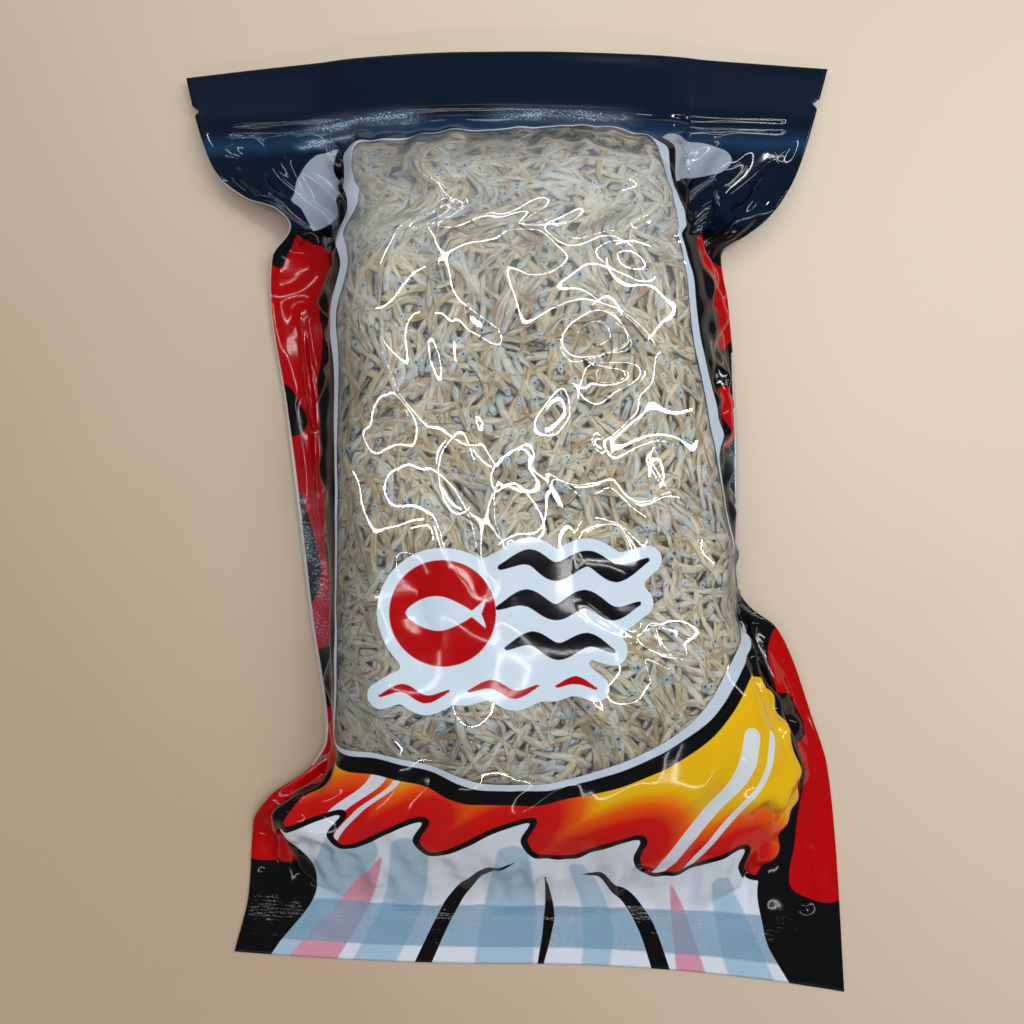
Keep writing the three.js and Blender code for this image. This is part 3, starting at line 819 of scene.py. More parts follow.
    def inks(self, f: np.ndarray, g: np.ndarray) -> dict[str, np.ndarray]:
        """Distances outside the printed fields, and the soft shares of the shaded ones.

        Args:
            f: places across the film.
            g: places along the film.

        Returns:
            A value for each place, by the field's name.
        """
        window = self.window.window(f, g)
        lower, waves = self.lower_area.distance(f, g, 60), self.waves.distance(f, g, 60)
        side = abs(f)
        header = self.header_y - self.header_drop * smooth_step(*self.header_sides, side)
        sky = np.maximum.reduce([self.band - window, self.wave_line - waves, lower + 2.5])
        panel = np.maximum(waves, lower + 1)
        ends = np.where(
            f < 0, *(abs(g - middle) - reach for middle, reach in (self.left_edge, self.right_edge)))
        margin = self.margin * np.where(f < 0, 1 - 0.55 * smooth_step(10, 60, g), 1)
        edges = np.maximum(self.half_width - margin - side, ends) + 0.6 * smooth_step(-16, 0, ends)
        line = window - np.where(f < 0, self.left_line(g), self.right_line(g))
        return {
            "red": np.maximum(nearest(self.reds, f, g), -nearest(self.blots, f, g)),
            "panel": np.maximum(panel, -nearest(self.black, f, g)),
            "sky": sky,
            "glow": np.clip(waves / self.glow_reach, 0, 1),
            "ray": np.maximum(sky, nearest(self.rays, f, g)),
            "line": line,
            "white": np.maximum(nearest(self.patches, f, g), 3 - line),
            "edge": edges,
            "navy": header - g,
            "seal": abs(g - self.seal_y) - self.seal_half,
            "spark": self.emboss_and_painted_glints(f, g),
            "pink": nearest(self.pink, f, g),
            "blue": nearest(self.blue, f, g),
        }


def places_of(shape: bmesh.types.BMesh) -> np.ndarray:
    """A shape's points, a row each."""
    return np.array([vert.co[:] for vert in shape.verts])


def middles_of(shape: bmesh.types.BMesh) -> np.ndarray:
    """X and Y of the middles of a shape's faces, in two rows."""
    return np.array([face.calc_center_median()[:2] for face in shape.faces]).T


def stand(name: str, data: bpy.types.ID) -> bpy.types.Object:
    """Puts an object into the scene.

    Args:
        name: the object's name.
        data: its mesh, lamp or lens.

    Returns:
        The object.
    """
    made = bpy.data.objects.new(name, data)
    bpy.context.scene.collection.objects.link(made)
    return made


@dataclass
class Workshop:
    """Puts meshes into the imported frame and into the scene."""

    low: Vector
    high: Vector
    left_edge: float = -124.5
    top_edge: float = 173.4
    body: str = "root"

    def metres(self, points: np.ndarray) -> np.ndarray:
        """Points in the part's own millimetres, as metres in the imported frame."""
        shift = (self.low.x / MM - self.left_edge, self.high.y / MM - self.top_edge, self.low.z / MM)
        return (points + np.array(shift)) * MM

    def piece(
        self, name: str, shape: bmesh.types.BMesh, place: Callable[[np.ndarray], np.ndarray],
        finish: bpy.types.Material, slot: str, node: Optional[str] = None,
    ) -> bpy.types.Object:
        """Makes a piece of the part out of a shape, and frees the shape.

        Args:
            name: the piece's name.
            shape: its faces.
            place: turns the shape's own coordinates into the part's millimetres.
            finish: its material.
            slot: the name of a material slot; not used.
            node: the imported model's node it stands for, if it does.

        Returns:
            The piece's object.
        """
        mesh = bpy.data.meshes.new(name)
        shape.to_mesh(mesh)
        shape.free()
        flat = np.zeros(len(mesh.vertices) * 3, np.float32)
        mesh.vertices.foreach_get("co", flat)
        points = self.metres(place(flat.reshape(-1, 3).astype(float)))
        mesh.vertices.foreach_set("co", points.astype(np.float32).ravel())
        mesh.polygons.foreach_set("use_smooth", np.ones(len(mesh.polygons), bool))
        mesh.materials.append(finish)
        mesh.update()
        made = stand(name, mesh)
        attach(made, self.body)
        if node:
            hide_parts(node)
        LOG.info("%s: %d faces", name, len(mesh.polygons))
        return made

    @staticmethod
    def note(piece: bpy.types.Object, name: str, values: np.ndarray) -> None:
        """Keeps a number or a vector for each point of a piece, for its material to read.

        Args:
            piece: the piece.
            name: the attribute's name.
            values: one number or three for each point.
        """
        vector = values.ndim == 2
        kind = "FLOAT_VECTOR" if vector else "FLOAT"
        made = piece.data.attributes.new(name, kind, "POINT")
        made.data.foreach_set("vector" if vector else "value", values.astype(np.float32).ravel())


@dataclass
class Pouch:
    """The pouch's film: printed front, clear window with its badge, and back."""

    film: FilmShape
    plan: PrintPlan
    shop: Workshop
    cell: float = 1.0
    back_cell: float = 1.7
    skirt: float = 0.4

    def _sheet(self, cell: float) -> bmesh.types.BMesh:
        """The flat film as a grid of cells, its X and Y being f and g.

        Args:
            cell: size of a cell.

        Returns:
            The grid.
        """
        low, high = self.film.g[0], self.film.g[-1]
        flat = bmesh.new()
        across, along = round(self.film.width / cell), round((high - low) / cell)
        bmesh.ops.create_grid(flat, x_segments=across, y_segments=along, size=0.5)
        bmesh.ops.scale(flat, verts=flat.verts, vec=(self.film.width, high - low, 1))
        bmesh.ops.translate(flat, verts=flat.verts, vec=(0, (low + high) / 2, 0))
        return flat

    @staticmethod
    def _cut(
        flat: bmesh.types.BMesh, distance: Callable[[np.ndarray, np.ndarray], np.ndarray],
        least: float = 0.1,
    ) -> None:
        """Splits the cells of a flat sheet along the line where a distance is 0.

        Args:
            flat: the sheet.
            distance: gives the distance of places on it.
            least: points nearer than this count as on the line.
        """
        flat.verts.index_update()
        away = distance(*places_of(flat).T[:2])
        away[abs(away) < least] = 0
        on_line = {vert for vert, value in zip(flat.verts, away) if value == 0}
        for edge in list(flat.edges):
            start, end = (away[vert.index] for vert in edge.verts)
            if start * end < 0:
                _, vert = bmesh.utils.edge_split(edge, edge.verts[0], start / (start - end))
                on_line.add(vert)
        for face in list(flat.faces):
            found = [i for i, vert in enumerate(face.verts) if vert in on_line]
            if len(found) != 2 or found[1] - found[0] in (1, len(face.verts) - 1):
                continue
            bmesh.utils.face_split(face, face.verts[found[0]], face.verts[found[1]])

    @staticmethod
    def _part(flat: bmesh.types.BMesh, wanted: np.ndarray) -> bmesh.types.BMesh:
        """A copy of a sheet with only some of its faces.

        Args:
            flat: the sheet.
            wanted: whether each face stays.

        Returns:
            The copy.
        """
        part = flat.copy()
        gone = [face for face, stays in zip(part.faces, wanted) if not stays]
        bmesh.ops.delete(part, geom=gone, context="FACES")
        return part

    def _place(self, flat: np.ndarray) -> np.ndarray:
        """Lays points of the flat sheet on the front film.

        Args:
            flat: the points; a Z below 0 hangs that far under the film.

        Returns:
            Where they lie.
        """
        points = self.film.find(self.film.front, flat[:, 0], flat[:, 1])
        points[:, 2] = np.maximum(points[:, 2] + flat[:, 2], 0)
        return points

    def _hem(self, flat: bmesh.types.BMesh) -> None:
        """Turns the pouch's outer rim down to the back film.

        Args:
            flat: the flat sheet.
        """
        low, high, half = self.film.g[0], self.film.g[-1], self.film.width / 2
        rim = [
            edge for edge in flat.edges if edge.is_boundary and all(
                abs(abs(vert.co.x) - half) < 1e-3 or min(vert.co.y - low, high - vert.co.y) < 1e-3
                for vert in edge.verts
            )
        ]
        made = bmesh.ops.extrude_edge_only(flat, edges=rim)
        lower = [item for item in made["geom"] if isinstance(item, bmesh.types.BMVert)]
        bmesh.ops.translate(flat, verts=lower, vec=(0, 0, -self.skirt))

    def _plan_place(self, f: np.ndarray, g: np.ndarray) -> np.ndarray:
        """X and Y of places on the film, in two rows."""
        return np.moveaxis(self.film.find(self.film.smooth, f, g)[..., :2], -1, 0)

    def _clear(self, f: np.ndarray, g: np.ndarray) -> np.ndarray:
        """Distance outside the clear film, negative on it."""
        badge = self.plan.window.badge(*self._plan_place(f, g))
        return np.maximum(self.plan.window.window(f, g), -badge)

    def _film_place(self, piece: bpy.types.Object, flat: np.ndarray) -> None:
        """Keeps where on the film each point of a piece lies."""
        self.shop.note(piece, "film", np.column_stack([flat[:, 0], flat[:, 1], 0 * flat[:, 0]]))

    def build(self, finishes: dict[str, bpy.types.Material]) -> None:
        """Makes the film's pieces.

        Args:
            finishes: the materials, by the piece's name.
        """
        sheet = self._sheet(self.cell)
        self._cut(sheet, self._clear)
        middles = middles_of(sheet)
        clear, inside = self._clear(*middles) < 0, self.plan.window.window(*middles) < 0
        parts = {"printed_film": ~inside, "window_film": clear, "window_badge": inside & ~clear}
        for name, wanted in parts.items():
            part = self._part(sheet, wanted)
            if name == "printed_film":
                self._hem(part)
            flat = places_of(part)
            slot = "clear_film" if name == "window_film" else "printed_film"
            node = "pouch" if name == "printed_film" else None
            piece = self.shop.piece(name, part, self._place, finishes[name], slot, node)
            self._film_place(piece, flat)
            if name == "window_film":
                continue
            fields = self._badge_inks(flat) if name == "window_badge" else self.plan.inks(
                flat[:, 0], flat[:, 1])
            for ink, values in fields.items():
                self.shop.note(piece, ink, values)
        sheet.free()
        self._build_back(finishes["back_film"])

    def _badge_inks(self, flat: np.ndarray) -> dict[str, np.ndarray]:
        """Distances outside the badge's marks.

        Args:
            flat: places on the film, a row each.

        Returns:
            A value for each place, by the mark's name.
        """
        x, y = self._plan_place(flat[:, 0], flat[:, 1])
        plan = self.plan.window
        return {
            "disc": plan.red_disc(x, y),
            "stroke": nearest(plan.strokes, x, y),
            "dash": nearest(plan.dashes, x, y),
            "fish": nearest(plan.fish, x, y),
        }

    def _build_back(self, finish: bpy.types.Material) -> None:
        """Makes the back film, facing down.

        Args:
            finish: its material.
        """
        sheet = self._sheet(self.back_cell)
        bmesh.ops.reverse_faces(sheet, faces=sheet.faces)
        flat = places_of(sheet)
        piece = self.shop.piece(
            "back_film", sheet, lambda p: self.film.back(p[:, 0], p[:, 1]), finish, "printed_film",
        )
        self._film_place(piece, flat)


class Kind(Enum):
    """The looks of the dried fish, with the share of the heap that has each."""

    PALE = ("pale", 0.6)
    GOLDEN = ("golden", 0.22)
    SILVER = ("silver", 0.18)

    @property
    def piece(self) -> str:
        """The name of its piece."""
        return f"whitebait_{self.value[0]}"

    @property
    def share(self) -> float:
        """Its share of the heap."""
        return self.value[1]


@dataclass
class FishHeap:
    """The dried whitebait under the window: fish dropped one by one against the film."""

    film: FilmShape
    window: WindowPlan
    shop: Workshop
    count: int = 2200
    tries: int = 12000
    least_height: float = 15.0
    depth: float = 7.5
    cell: float = 0.5
    margin: float = 11.0
    least_gap: float = 3.2
    floor: float = 1.2
    # Where each fish is drawn, how it bends and how it comes to rest
    area: tuple[Pair, Pair] = ((-106, 116), (-108, 156))
    flow: Ripples = Ripples(1.5, 62, 31, count=8)
    lengths: Pair = (23, 35)
    usual_length: float = 28.0
    sizes: Pair = (0.78, 1.15)
    scatter: float = 0.6
    bend: float = 0.65
    sway: float = 0.4
    footing: float = 0.6
    settling: int = 5
    sinking: float = 0.75
    clearance: float = 0.25
    hidden_clearance: float = 1.4
    hidden_from: Pair = (0.5, 4)
    squeeze: float = 0.6
    seed: int = 41
    # The shape of a fish at stations from its head to its tail
    sides: int = 8
    stations: tuple[float, ...] = (0, 0.035, 0.1, 0.2, 0.33, 0.47, 0.61, 0.75, 0.9, 1)
    twist: Pair = (0.3, 0.7)
    ridge: Pair = (0.2, 0.1)
    ring_sizes: Pair = (0.8, 1.2)
    half_width: tuple[float, ...] = (0, 1.2, 1.75, 1.7, 1.5, 1.52, 1.4, 1.15, 0.8, 0)
    half_depth: tuple[float, ...] = (0, 0.7, 0.95, 0.85, 0.66, 0.62, 0.58, 0.5, 0.32, 0)
    # The eyes, and the dark bed of painted shade under the fish
    eye_radius: float = 1.15
    eye_sizes: Pair = (0.8, 1.15)
    eye_flatness: float = 0.36
    eye_at: float = 0.09
    eye_share: float = 0.42
    bed_cell: float = 2.5
    bed_size: Pair = (220, 260)
    bed_middle: Pair = (5, 27)
    bed_gap: float = 4.0
    bed_swell: Ripples = Ripples(0.5, 9, 51)
    bed_foot: float = 9.0
    spine: np.ndarray = field(init=False)
    height: np.ndarray = field(init=False)
    girth: np.ndarray = field(init=False)
    kinds: np.ndarray = field(init=False)
    pile: np.ndarray = field(init=False)

    def _cells(self, f: np.ndarray, g: np.ndarray) -> tuple[np.ndarray, np.ndarray]:
        """Row and column of places in the height map.

        Args:
            f: places across the film.
            g: places along the film.

        Returns:
            The rows and the columns.
        """
        rows, columns = self.pile.shape
        row = np.clip(((g - self.film.g[0]) / self.cell).astype(int), 0, rows - 1)
        column = np.clip(((f - self.film.f[0]) / self.cell).astype(int), 0, columns - 1)
        return row, column

    def _drawn(
        self, random: np.random.Generator, heading: np.ndarray,
    ) -> tuple[np.ndarray, np.ndarray, float]:
        """Draws a place and a bend for one fish.

        Args:
            random: what it is drawn from.
            heading: which way the fish of each cell point.

        Returns:
            Its spine on the film, its direction at each point of it, and its length.
        """
        t = np.array(self.stations)
        length = random.uniform(*self.lengths)
        start = np.array([random.uniform(*span) for span in self.area])
        row, column = self._cells(*start)
        turn = heading[row, column] + random.normal(0, self.scatter)
        turn += math.pi * random.integers(2)
        bend, sway = random.normal(0, self.bend), random.normal(0, self.sway)
        angle = turn + bend * (t - 0.5) + sway * np.sin(2 * math.pi * t + random.uniform(0, 6))
        ahead = np.column_stack([np.cos(angle), np.sin(angle)])[:-1]
        steps = ahead * length * np.diff(t)[:, None]
        spine = start + np.vstack([[0, 0], np.cumsum(steps, axis=0)]) - steps.sum(axis=0) / 2
        return spine, angle, length

    def _resting(self, spine: np.ndarray, side: np.ndarray, size: float) -> np.ndarray:
        """Level of a fish that lies on the pile.

        Args:
            spine: its spine on the film.
            side: the direction beside each point of it.
            size: how thick it is.

        Returns:
            The level of each point of its spine.
        """
        under = np.max([
            self.pile[self._cells(*(spine + self.footing * size * share * side).T)]
            for share in (-1, 0, 1)
        ], axis=0)
        lying = under.copy()
        for _ in range(self.settling):
            middle = 0.5 * lying[1:-1] + 0.25 * (lying[:-2] + lying[2:])
            lying[1:-1] = np.maximum(under[1:-1], middle)
        return lying + self.sinking * size * np.array(self.half_depth)

    def _add_to_pile(
        self, spine: np.ndarray, side: np.ndarray, size: float, level: np.ndarray,
    ) -> None:
        """Raises the height map to a fish's back.

        Args:
            spine: its spine on the film.
            side: the direction beside each point of it.
            size: how thick it is.
            level: the level of each point of its spine.
        """
        t, fine = np.array(self.stations), np.linspace(0.03, 0.97, 50)
        width, thickness = (
            size * np.interp(fine, t, line) for line in (self.half_width, self.half_depth))
        for share in (-0.8, -0.4, 0, 0.4, 0.8):
            line = [
                np.interp(fine, t, spine[:, i]) + share * width * np.interp(fine, t, side[:, i])
                for i in (0, 1)
            ]
            top = np.interp(fine, t, level) + thickness * math.sqrt(1 - share**2)
            np.maximum.at(self.pile, self._cells(*line), top)

    def lay(self) -> None:
        """Drops the fish one by one: each lies on what is there, and none passes the film."""
        random = np.random.default_rng(self.seed)
        f = np.arange(self.film.f[0], self.film.f[-1] + self.cell, self.cell)
        g = np.arange(self.film.g[0], self.film.g[-1] + self.cell, self.cell)
        field_f, field_g = np.meshgrid(f, g)
        gap = self.film.gap(field_f, field_g)
        room = self.window.window(field_f, field_g) < self.margin
        room &= self.film.find(self.film.smooth, field_f, field_g)[..., 2] > self.least_height
        room &= gap > self.least_gap
        heading = self.flow(field_f, field_g)
        ceiling = self._limit(field_f, field_g)
        self.pile = np.maximum(-self.depth, self.floor - gap)
        spines, levels, sizes = [], [], []
        for _ in range(self.tries):
            if len(spines) == self.count:
                break
            spine, angle, length = self._drawn(random, heading)
            cells = self._cells(*spine.T)
            if not room[cells].all():
                continue
            size = random.uniform(*self.sizes) * (0.6 + 0.4 * length / self.usual_length)
            side = np.column_stack([-np.sin(angle), np.cos(angle)])
            level = self._resting(spine, side, size)
            back = level + size * np.array(self.half_depth)
            excess = np.maximum(back - ceiling[cells], 0)
            if excess.mean() > self.squeeze:
                continue
            level -= excess
            spines.append(spine)
            levels.append(level)
            sizes.append(size)
            self._add_to_pile(spine, side, size, level)
        self.spine, self.height = np.array(spines), np.array(levels)
        self.girth = np.array(sizes)
        self.kinds = random.choice(len(Kind), len(spines), p=[kind.share for kind in Kind])
        LOG.info("heap: %d fish laid", len(spines))

    def _limit(self, f: np.ndarray, g: np.ndarray) -> np.ndarray:
        """The highest level of the fish, well below the film where its print hides them.

        Args:
            f: places across the film.
            g: places along the film.

        Returns:
            The level of each place above the film's smooth surface.
        """
        hidden = smooth_step(*self.hidden_from, self.window.window(f, g))
        ripple = self.film.find(self.film.offset, f, g)
        return ripple - self.clearance - self.hidden_clearance * hidden

    def _points(self, f: np.ndarray, g: np.ndarray, height: np.ndarray) -> np.ndarray:
        """Points a height above the film's smooth surface.

        Args:
            f: places across the film.
            g: places along the film.
            height: how far above it each lies, negative below it.

        Returns:
            The points.
        """
        base, outward = (self.film.find(part, f, g) for part in (self.film.smooth, self.film.outward))
        outward /= np.linalg.norm(outward, axis=-1, keepdims=True)
        points = base + height[..., None] * outward
        points[..., 2] = np.maximum(points[..., 2], self.floor)
        return points

    @staticmethod
    def _eased(level: np.ndarray, limit: np.ndarray, room: float = 0.9) -> np.ndarray:
        """Levels pressed together under a limit, from some room below it, in the same order."""
        over = np.maximum(level - limit + room, 0) / room
        return np.minimum(level, limit - room) + room * (1 - np.exp(-over))

    def _template(self) -> bmesh.types.BMesh:
        """Makes one fish before it is shaped.

        Returns:
            A ball with its poles at head and tail.
        """
        ball = bmesh.new()
        rings = len(self.stations) - 1
        bmesh.ops.create_uvsphere(ball, u_segments=self.sides, v_segments=rings, radius=1)
        return ball

    @staticmethod
    def _copies(one: bmesh.types.BMesh, count: int) -> bmesh.types.BMesh:
        """A shape's copies in one mesh.

        Args:
            one: the shape, which is freed.
            count: how many copies.

        Returns:
            All of them.
        """
        mesh = bpy.data.meshes.new("copy")
        one.to_mesh(mesh)
        one.free()
        every = bmesh.new()
        for _ in range(count):
            every.from_mesh(mesh)
        bpy.data.meshes.remove(mesh)
        return every

    def _fish_points(self, ball: np.ndarray, chosen: np.ndarray, kind: int) -> np.ndarray:
        """Shapes balls into the chosen fish.

        Args:
            ball: the points of one ball.
            chosen: the numbers of the fish.
            kind: seeds their unevenness.

        Returns:
            The points of all the fish, a row each.
        """
        random = np.random.default_rng(self.seed + 1 + kind)
        rings = len(self.stations) - 1
        ring = np.rint(np.arccos(np.clip(ball[:, 2], -1, 1)) / math.pi * rings).astype(int)
        angle = np.arctan2(ball[:, 1], ball[:, 0])
        spine = self.spine[chosen]
        centre = self._points(spine[..., 0], spine[..., 1], self.height[chosen])
        outward = self.film.find(self.film.outward, spine[..., 0], spine[..., 1])
        along = np.gradient(centre, axis=1)
        sideways = np.cross(outward, along)
        sideways /= np.linalg.norm(sideways, axis=2, keepdims=True)
        upward = np.cross(along, sideways)
        upward /= np.linalg.norm(upward, axis=2, keepdims=True)
        count = len(chosen)
        size = self.girth[chosen, None] * random.uniform(*self.ring_sizes, (count, rings + 1))
        width, thickness = size * np.array(self.half_width), size * np.array(self.half_depth)
        lean, twist = (random.normal(0, spread, (count, 1)) for spread in self.twist)
        roll = lean + twist * np.linspace(-0.5, 0.5, rings + 1)[ring][None]
        phase = random.uniform(0, 2 * math.pi, (count, 1))
        ridge = 1 + self.ridge[0] * np.cos(self.sides / 2 * angle[None] + phase)
        ridge += random.normal(0, self.ridge[1], ridge.shape)
        wide = width[:, ring] * np.cos(angle) * ridge
        deep = thickness[:, ring] * np.sin(angle) * ridge
        turned_wide = wide * np.cos(roll) - deep * np.sin(roll)
        turned_deep = wide * np.sin(roll) + deep * np.cos(roll)
        points = centre[:, ring] + sideways[:, ring] * turned_wide[..., None]
        points += upward[:, ring] * turned_deep[..., None]
        base = self.film.find(self.film.smooth, spine[..., 0], spine[..., 1])[:, ring]
        limit = self._limit(spine[..., 0], spine[..., 1])[:, ring]
        normal = outward[:, ring]
        level = ((points - base) * normal).sum(axis=2)
        points += (self._eased(level, limit - 0.1) - level)[..., None] * normal
        return points.reshape(-1, 3)

    def build(self, finishes: dict[str, bpy.types.Material]) -> None:
        """Makes the fish of each kind, their eyes, and the dark bed of painted shade under them.

        Args:
            finishes: the materials, by the piece's name.
        """
        self.lay()
        random = np.random.default_rng(self.seed + 9)
        for number, kind in enumerate(Kind):
            chosen = np.flatnonzero(self.kinds == number)
            template = self._template()
            ball = places_of(template)
            points = self._fish_points(ball, chosen, number)
            piece = self.shop.piece(
                kind.piece, self._copies(template, len(chosen)), lambda _: points,
                finishes[kind.piece], "whitebait", "whitebait" if kind is Kind.PALE else None,
            )
            level = np.arccos(np.clip(ball[:, 2], -1, 1)) / math.pi
            along = np.tile(
                np.interp(level, np.linspace(0, 1, len(self.stations)), self.stations), len(chosen))
            around = np.tile(np.arctan2(ball[:, 1], ball[:, 0]) / math.pi, len(chosen))
            tint = np.repeat(random.uniform(0, 1, len(chosen)), len(ball))
            self.shop.note(piece, "body", np.column_stack([along, around, tint]))
        self._build_eyes(finishes["whitebait_eyes"])
        self._build_painted_shade(finishes["whitebait_bed"])

    def _build_eyes(self, finish: bpy.types.Material) -> None:
        """Makes the eyes of the fish whose heads lie near the film.

        Args:
            finish: their material.
        """
        random = np.random.default_rng(self.seed + 20)
        t = np.array(self.stations)
        spine = np.array([
            [np.interp(self.eye_at, t, line[:, i]) for i in (0, 1)] for line in self.spine
        ])
        level = np.array([np.interp(self.eye_at, t, line) for line in self.height])
        level += 0.85 * self.girth * np.interp(self.eye_at, t, self.half_depth)
        seen = level > self.pile[self._cells(*spine.T)] - 0.5
        seen &= random.uniform(0, 1, len(seen)) < self.eye_share
        level = self._eased(level, self._limit(*spine.T) - 0.1) - 0.1
        f, g = spine[seen].T
        centre = self._points(f, g, level[seen])
        outward = self.film.find(self.film.outward, f, g)
        across = np.cross(outward, np.array([0.0, 1.0, 0.0]))
        across /= np.linalg.norm(across, axis=1, keepdims=True)
        along = np.cross(outward, across)
        one = bmesh.new()
        bmesh.ops.create_uvsphere(one, u_segments=8, v_segments=6, radius=1)
        ball = places_of(one)
        radius = self.eye_radius * random.uniform(*self.eye_sizes, (len(f), 1, 1))
        points = centre[:, None] + radius * (
            ball[None, :, :1] * across[:, None] + ball[None, :, 1:2] * along[:, None]
            + self.eye_flatness * ball[None, :, 2:] * outward[:, None]
        )
        piece = self.shop.piece(
            "whitebait_eyes", self._copies(one, len(f)), lambda _: points.reshape(-1, 3), finish,
            "whitebait",
        )
        radial = np.tile(np.hypot(ball[:, 0], ball[:, 1]), len(f))
        tint = np.repeat(random.uniform(0, 1, len(f)), len(ball))
        self.shop.note(piece, "eye", np.column_stack([radial, tint, 0 * tint]))

    def _build_painted_shade(self, finish: bpy.types.Material) -> None:
        """Makes the closed dark bed that shows between the fish, as painted shade of the heap's
        depths.

        Args:
            finish: its material.
        """
        bed = bmesh.new()
        across, along = (round(size / self.bed_cell) for size in self.bed_size)
        bmesh.ops.create_grid(bed, x_segments=across, y_segments=along, size=0.5)
        bmesh.ops.scale(bed, verts=bed.verts, vec=(*self.bed_size, 1))
        bmesh.ops.translate(bed, verts=bed.verts, vec=(*self.bed_middle, 0))
        middles = middles_of(bed)
        outside = self.window.window(*middles) > self.margin + 1
        outside |= self.film.gap(*middles) < self.bed_gap
        gone = [face for face, out in zip(bed.faces, outside) if out]
        bmesh.ops.delete(bed, geom=gone, context="FACES")
        made = bmesh.ops.extrude_face_region(bed, geom=bed.faces[:])
        upper = [item for item in made["geom"] if isinstance(item, bmesh.types.BMVert)]
        bmesh.ops.translate(bed, verts=upper, vec=(0, 0, 1))
        bmesh.ops.recalc_face_normals(bed, faces=bed.faces)
        self.shop.piece("whitebait_bed", bed, self._bed_place, finish, "whitebait")

    def _bed_place(self, flat: np.ndarray) -> np.ndarray:
        """Lays the bed's points: its top follows the film and its underside is level.

        Args:
            flat: the points; Z is 1 for the top and 0 for the underside.

        Returns:
            Where they lie.
        """
        f, g = flat[:, 0], flat[:, 1]
        below = self.film.back(f, g)[:, 2] + 0.5
        level = -self.depth - 0.2 + self.bed_swell(f, g)
        level = np.maximum(level, self.floor - self.film.gap(f, g))
        level = np.minimum(level, np.minimum(self._limit(f, g) - 0.6, -0.9))
        points = self._points(f, g, level)
        x, y = points[:, 0], points[:, 1]
        inward = np.minimum(x - self.film.left_foot(y), self.film.right_foot(y) - x)
        turned_up = np.clip(1 - inward / self.bed_foot, 0, 1) ** 2
        below = np.maximum(below, 0.8 + self.bed_foot * turned_up)
        top = np.maximum(points[:, 2], below + 0.6)
        points[:, 2] = np.where(flat[:, 2] > 0.5, top, below)
        return points


Colour = tuple[float, float, float, float]


def paint(red: int, green: int, blue: int) -> Colour:
    """A colour for the renderer, from the levels that the eye sees.

    Args:
        red: level from 0 to 255.
        green: the same.
        blue: the same.

    Returns:
        The light levels, with an opaque fourth.
    """
    levels = (value / 255 for value in (red, green, blue))
    light = (v / 12.92 if v <= 0.04045 else ((v + 0.055) / 1.055) ** 2.4 for v in levels)
    return (*light, 1.0)


@dataclass(frozen=True)
class Wire:
    """A node's output, on which arithmetic adds Math nodes."""

    bench: "Bench"
    socket: bpy.types.NodeSocket

    def _math(self, operation: str, *values: Union["Wire", float], clamp: bool = False) -> "Wire":
        """Adds a Math node for some values; clamp holds its result from 0 to 1."""
        settings = {"operation": operation, "use_clamp": clamp}
        return self.bench.wire("ShaderNodeMath", settings, dict(enumerate(values)))

    def __add__(self, other: Union["Wire", float]) -> "Wire":
        """This plus another."""
        return self._math("ADD", self, other)

    __radd__ = __add__

    def __mul__(self, other: Union["Wire", float]) -> "Wire":
        """This times another."""
        return self._math("MULTIPLY", self, other)

    __rmul__ = __mul__

    def __sub__(self, other: Union["Wire", float]) -> "Wire":
        """This less another."""
        return self._math("SUBTRACT", self, other)

    def __rsub__(self, other: Union["Wire", float]) -> "Wire":
        """Another less this."""
        return self._math("SUBTRACT", other, self)

    def held(self) -> "Wire":
        """This, held from 0 to 1."""
        return self._math("ADD", self, 0.0, clamp=True)

    def sine(self) -> "Wire":
        """The sine of this."""
        return self._math("SINE", self)

    def size(self) -> "Wire":
        """This without its sign."""
        return self._math("ABSOLUTE", self)


Value = Union[Wire, float, Colour, Sequence[float]]


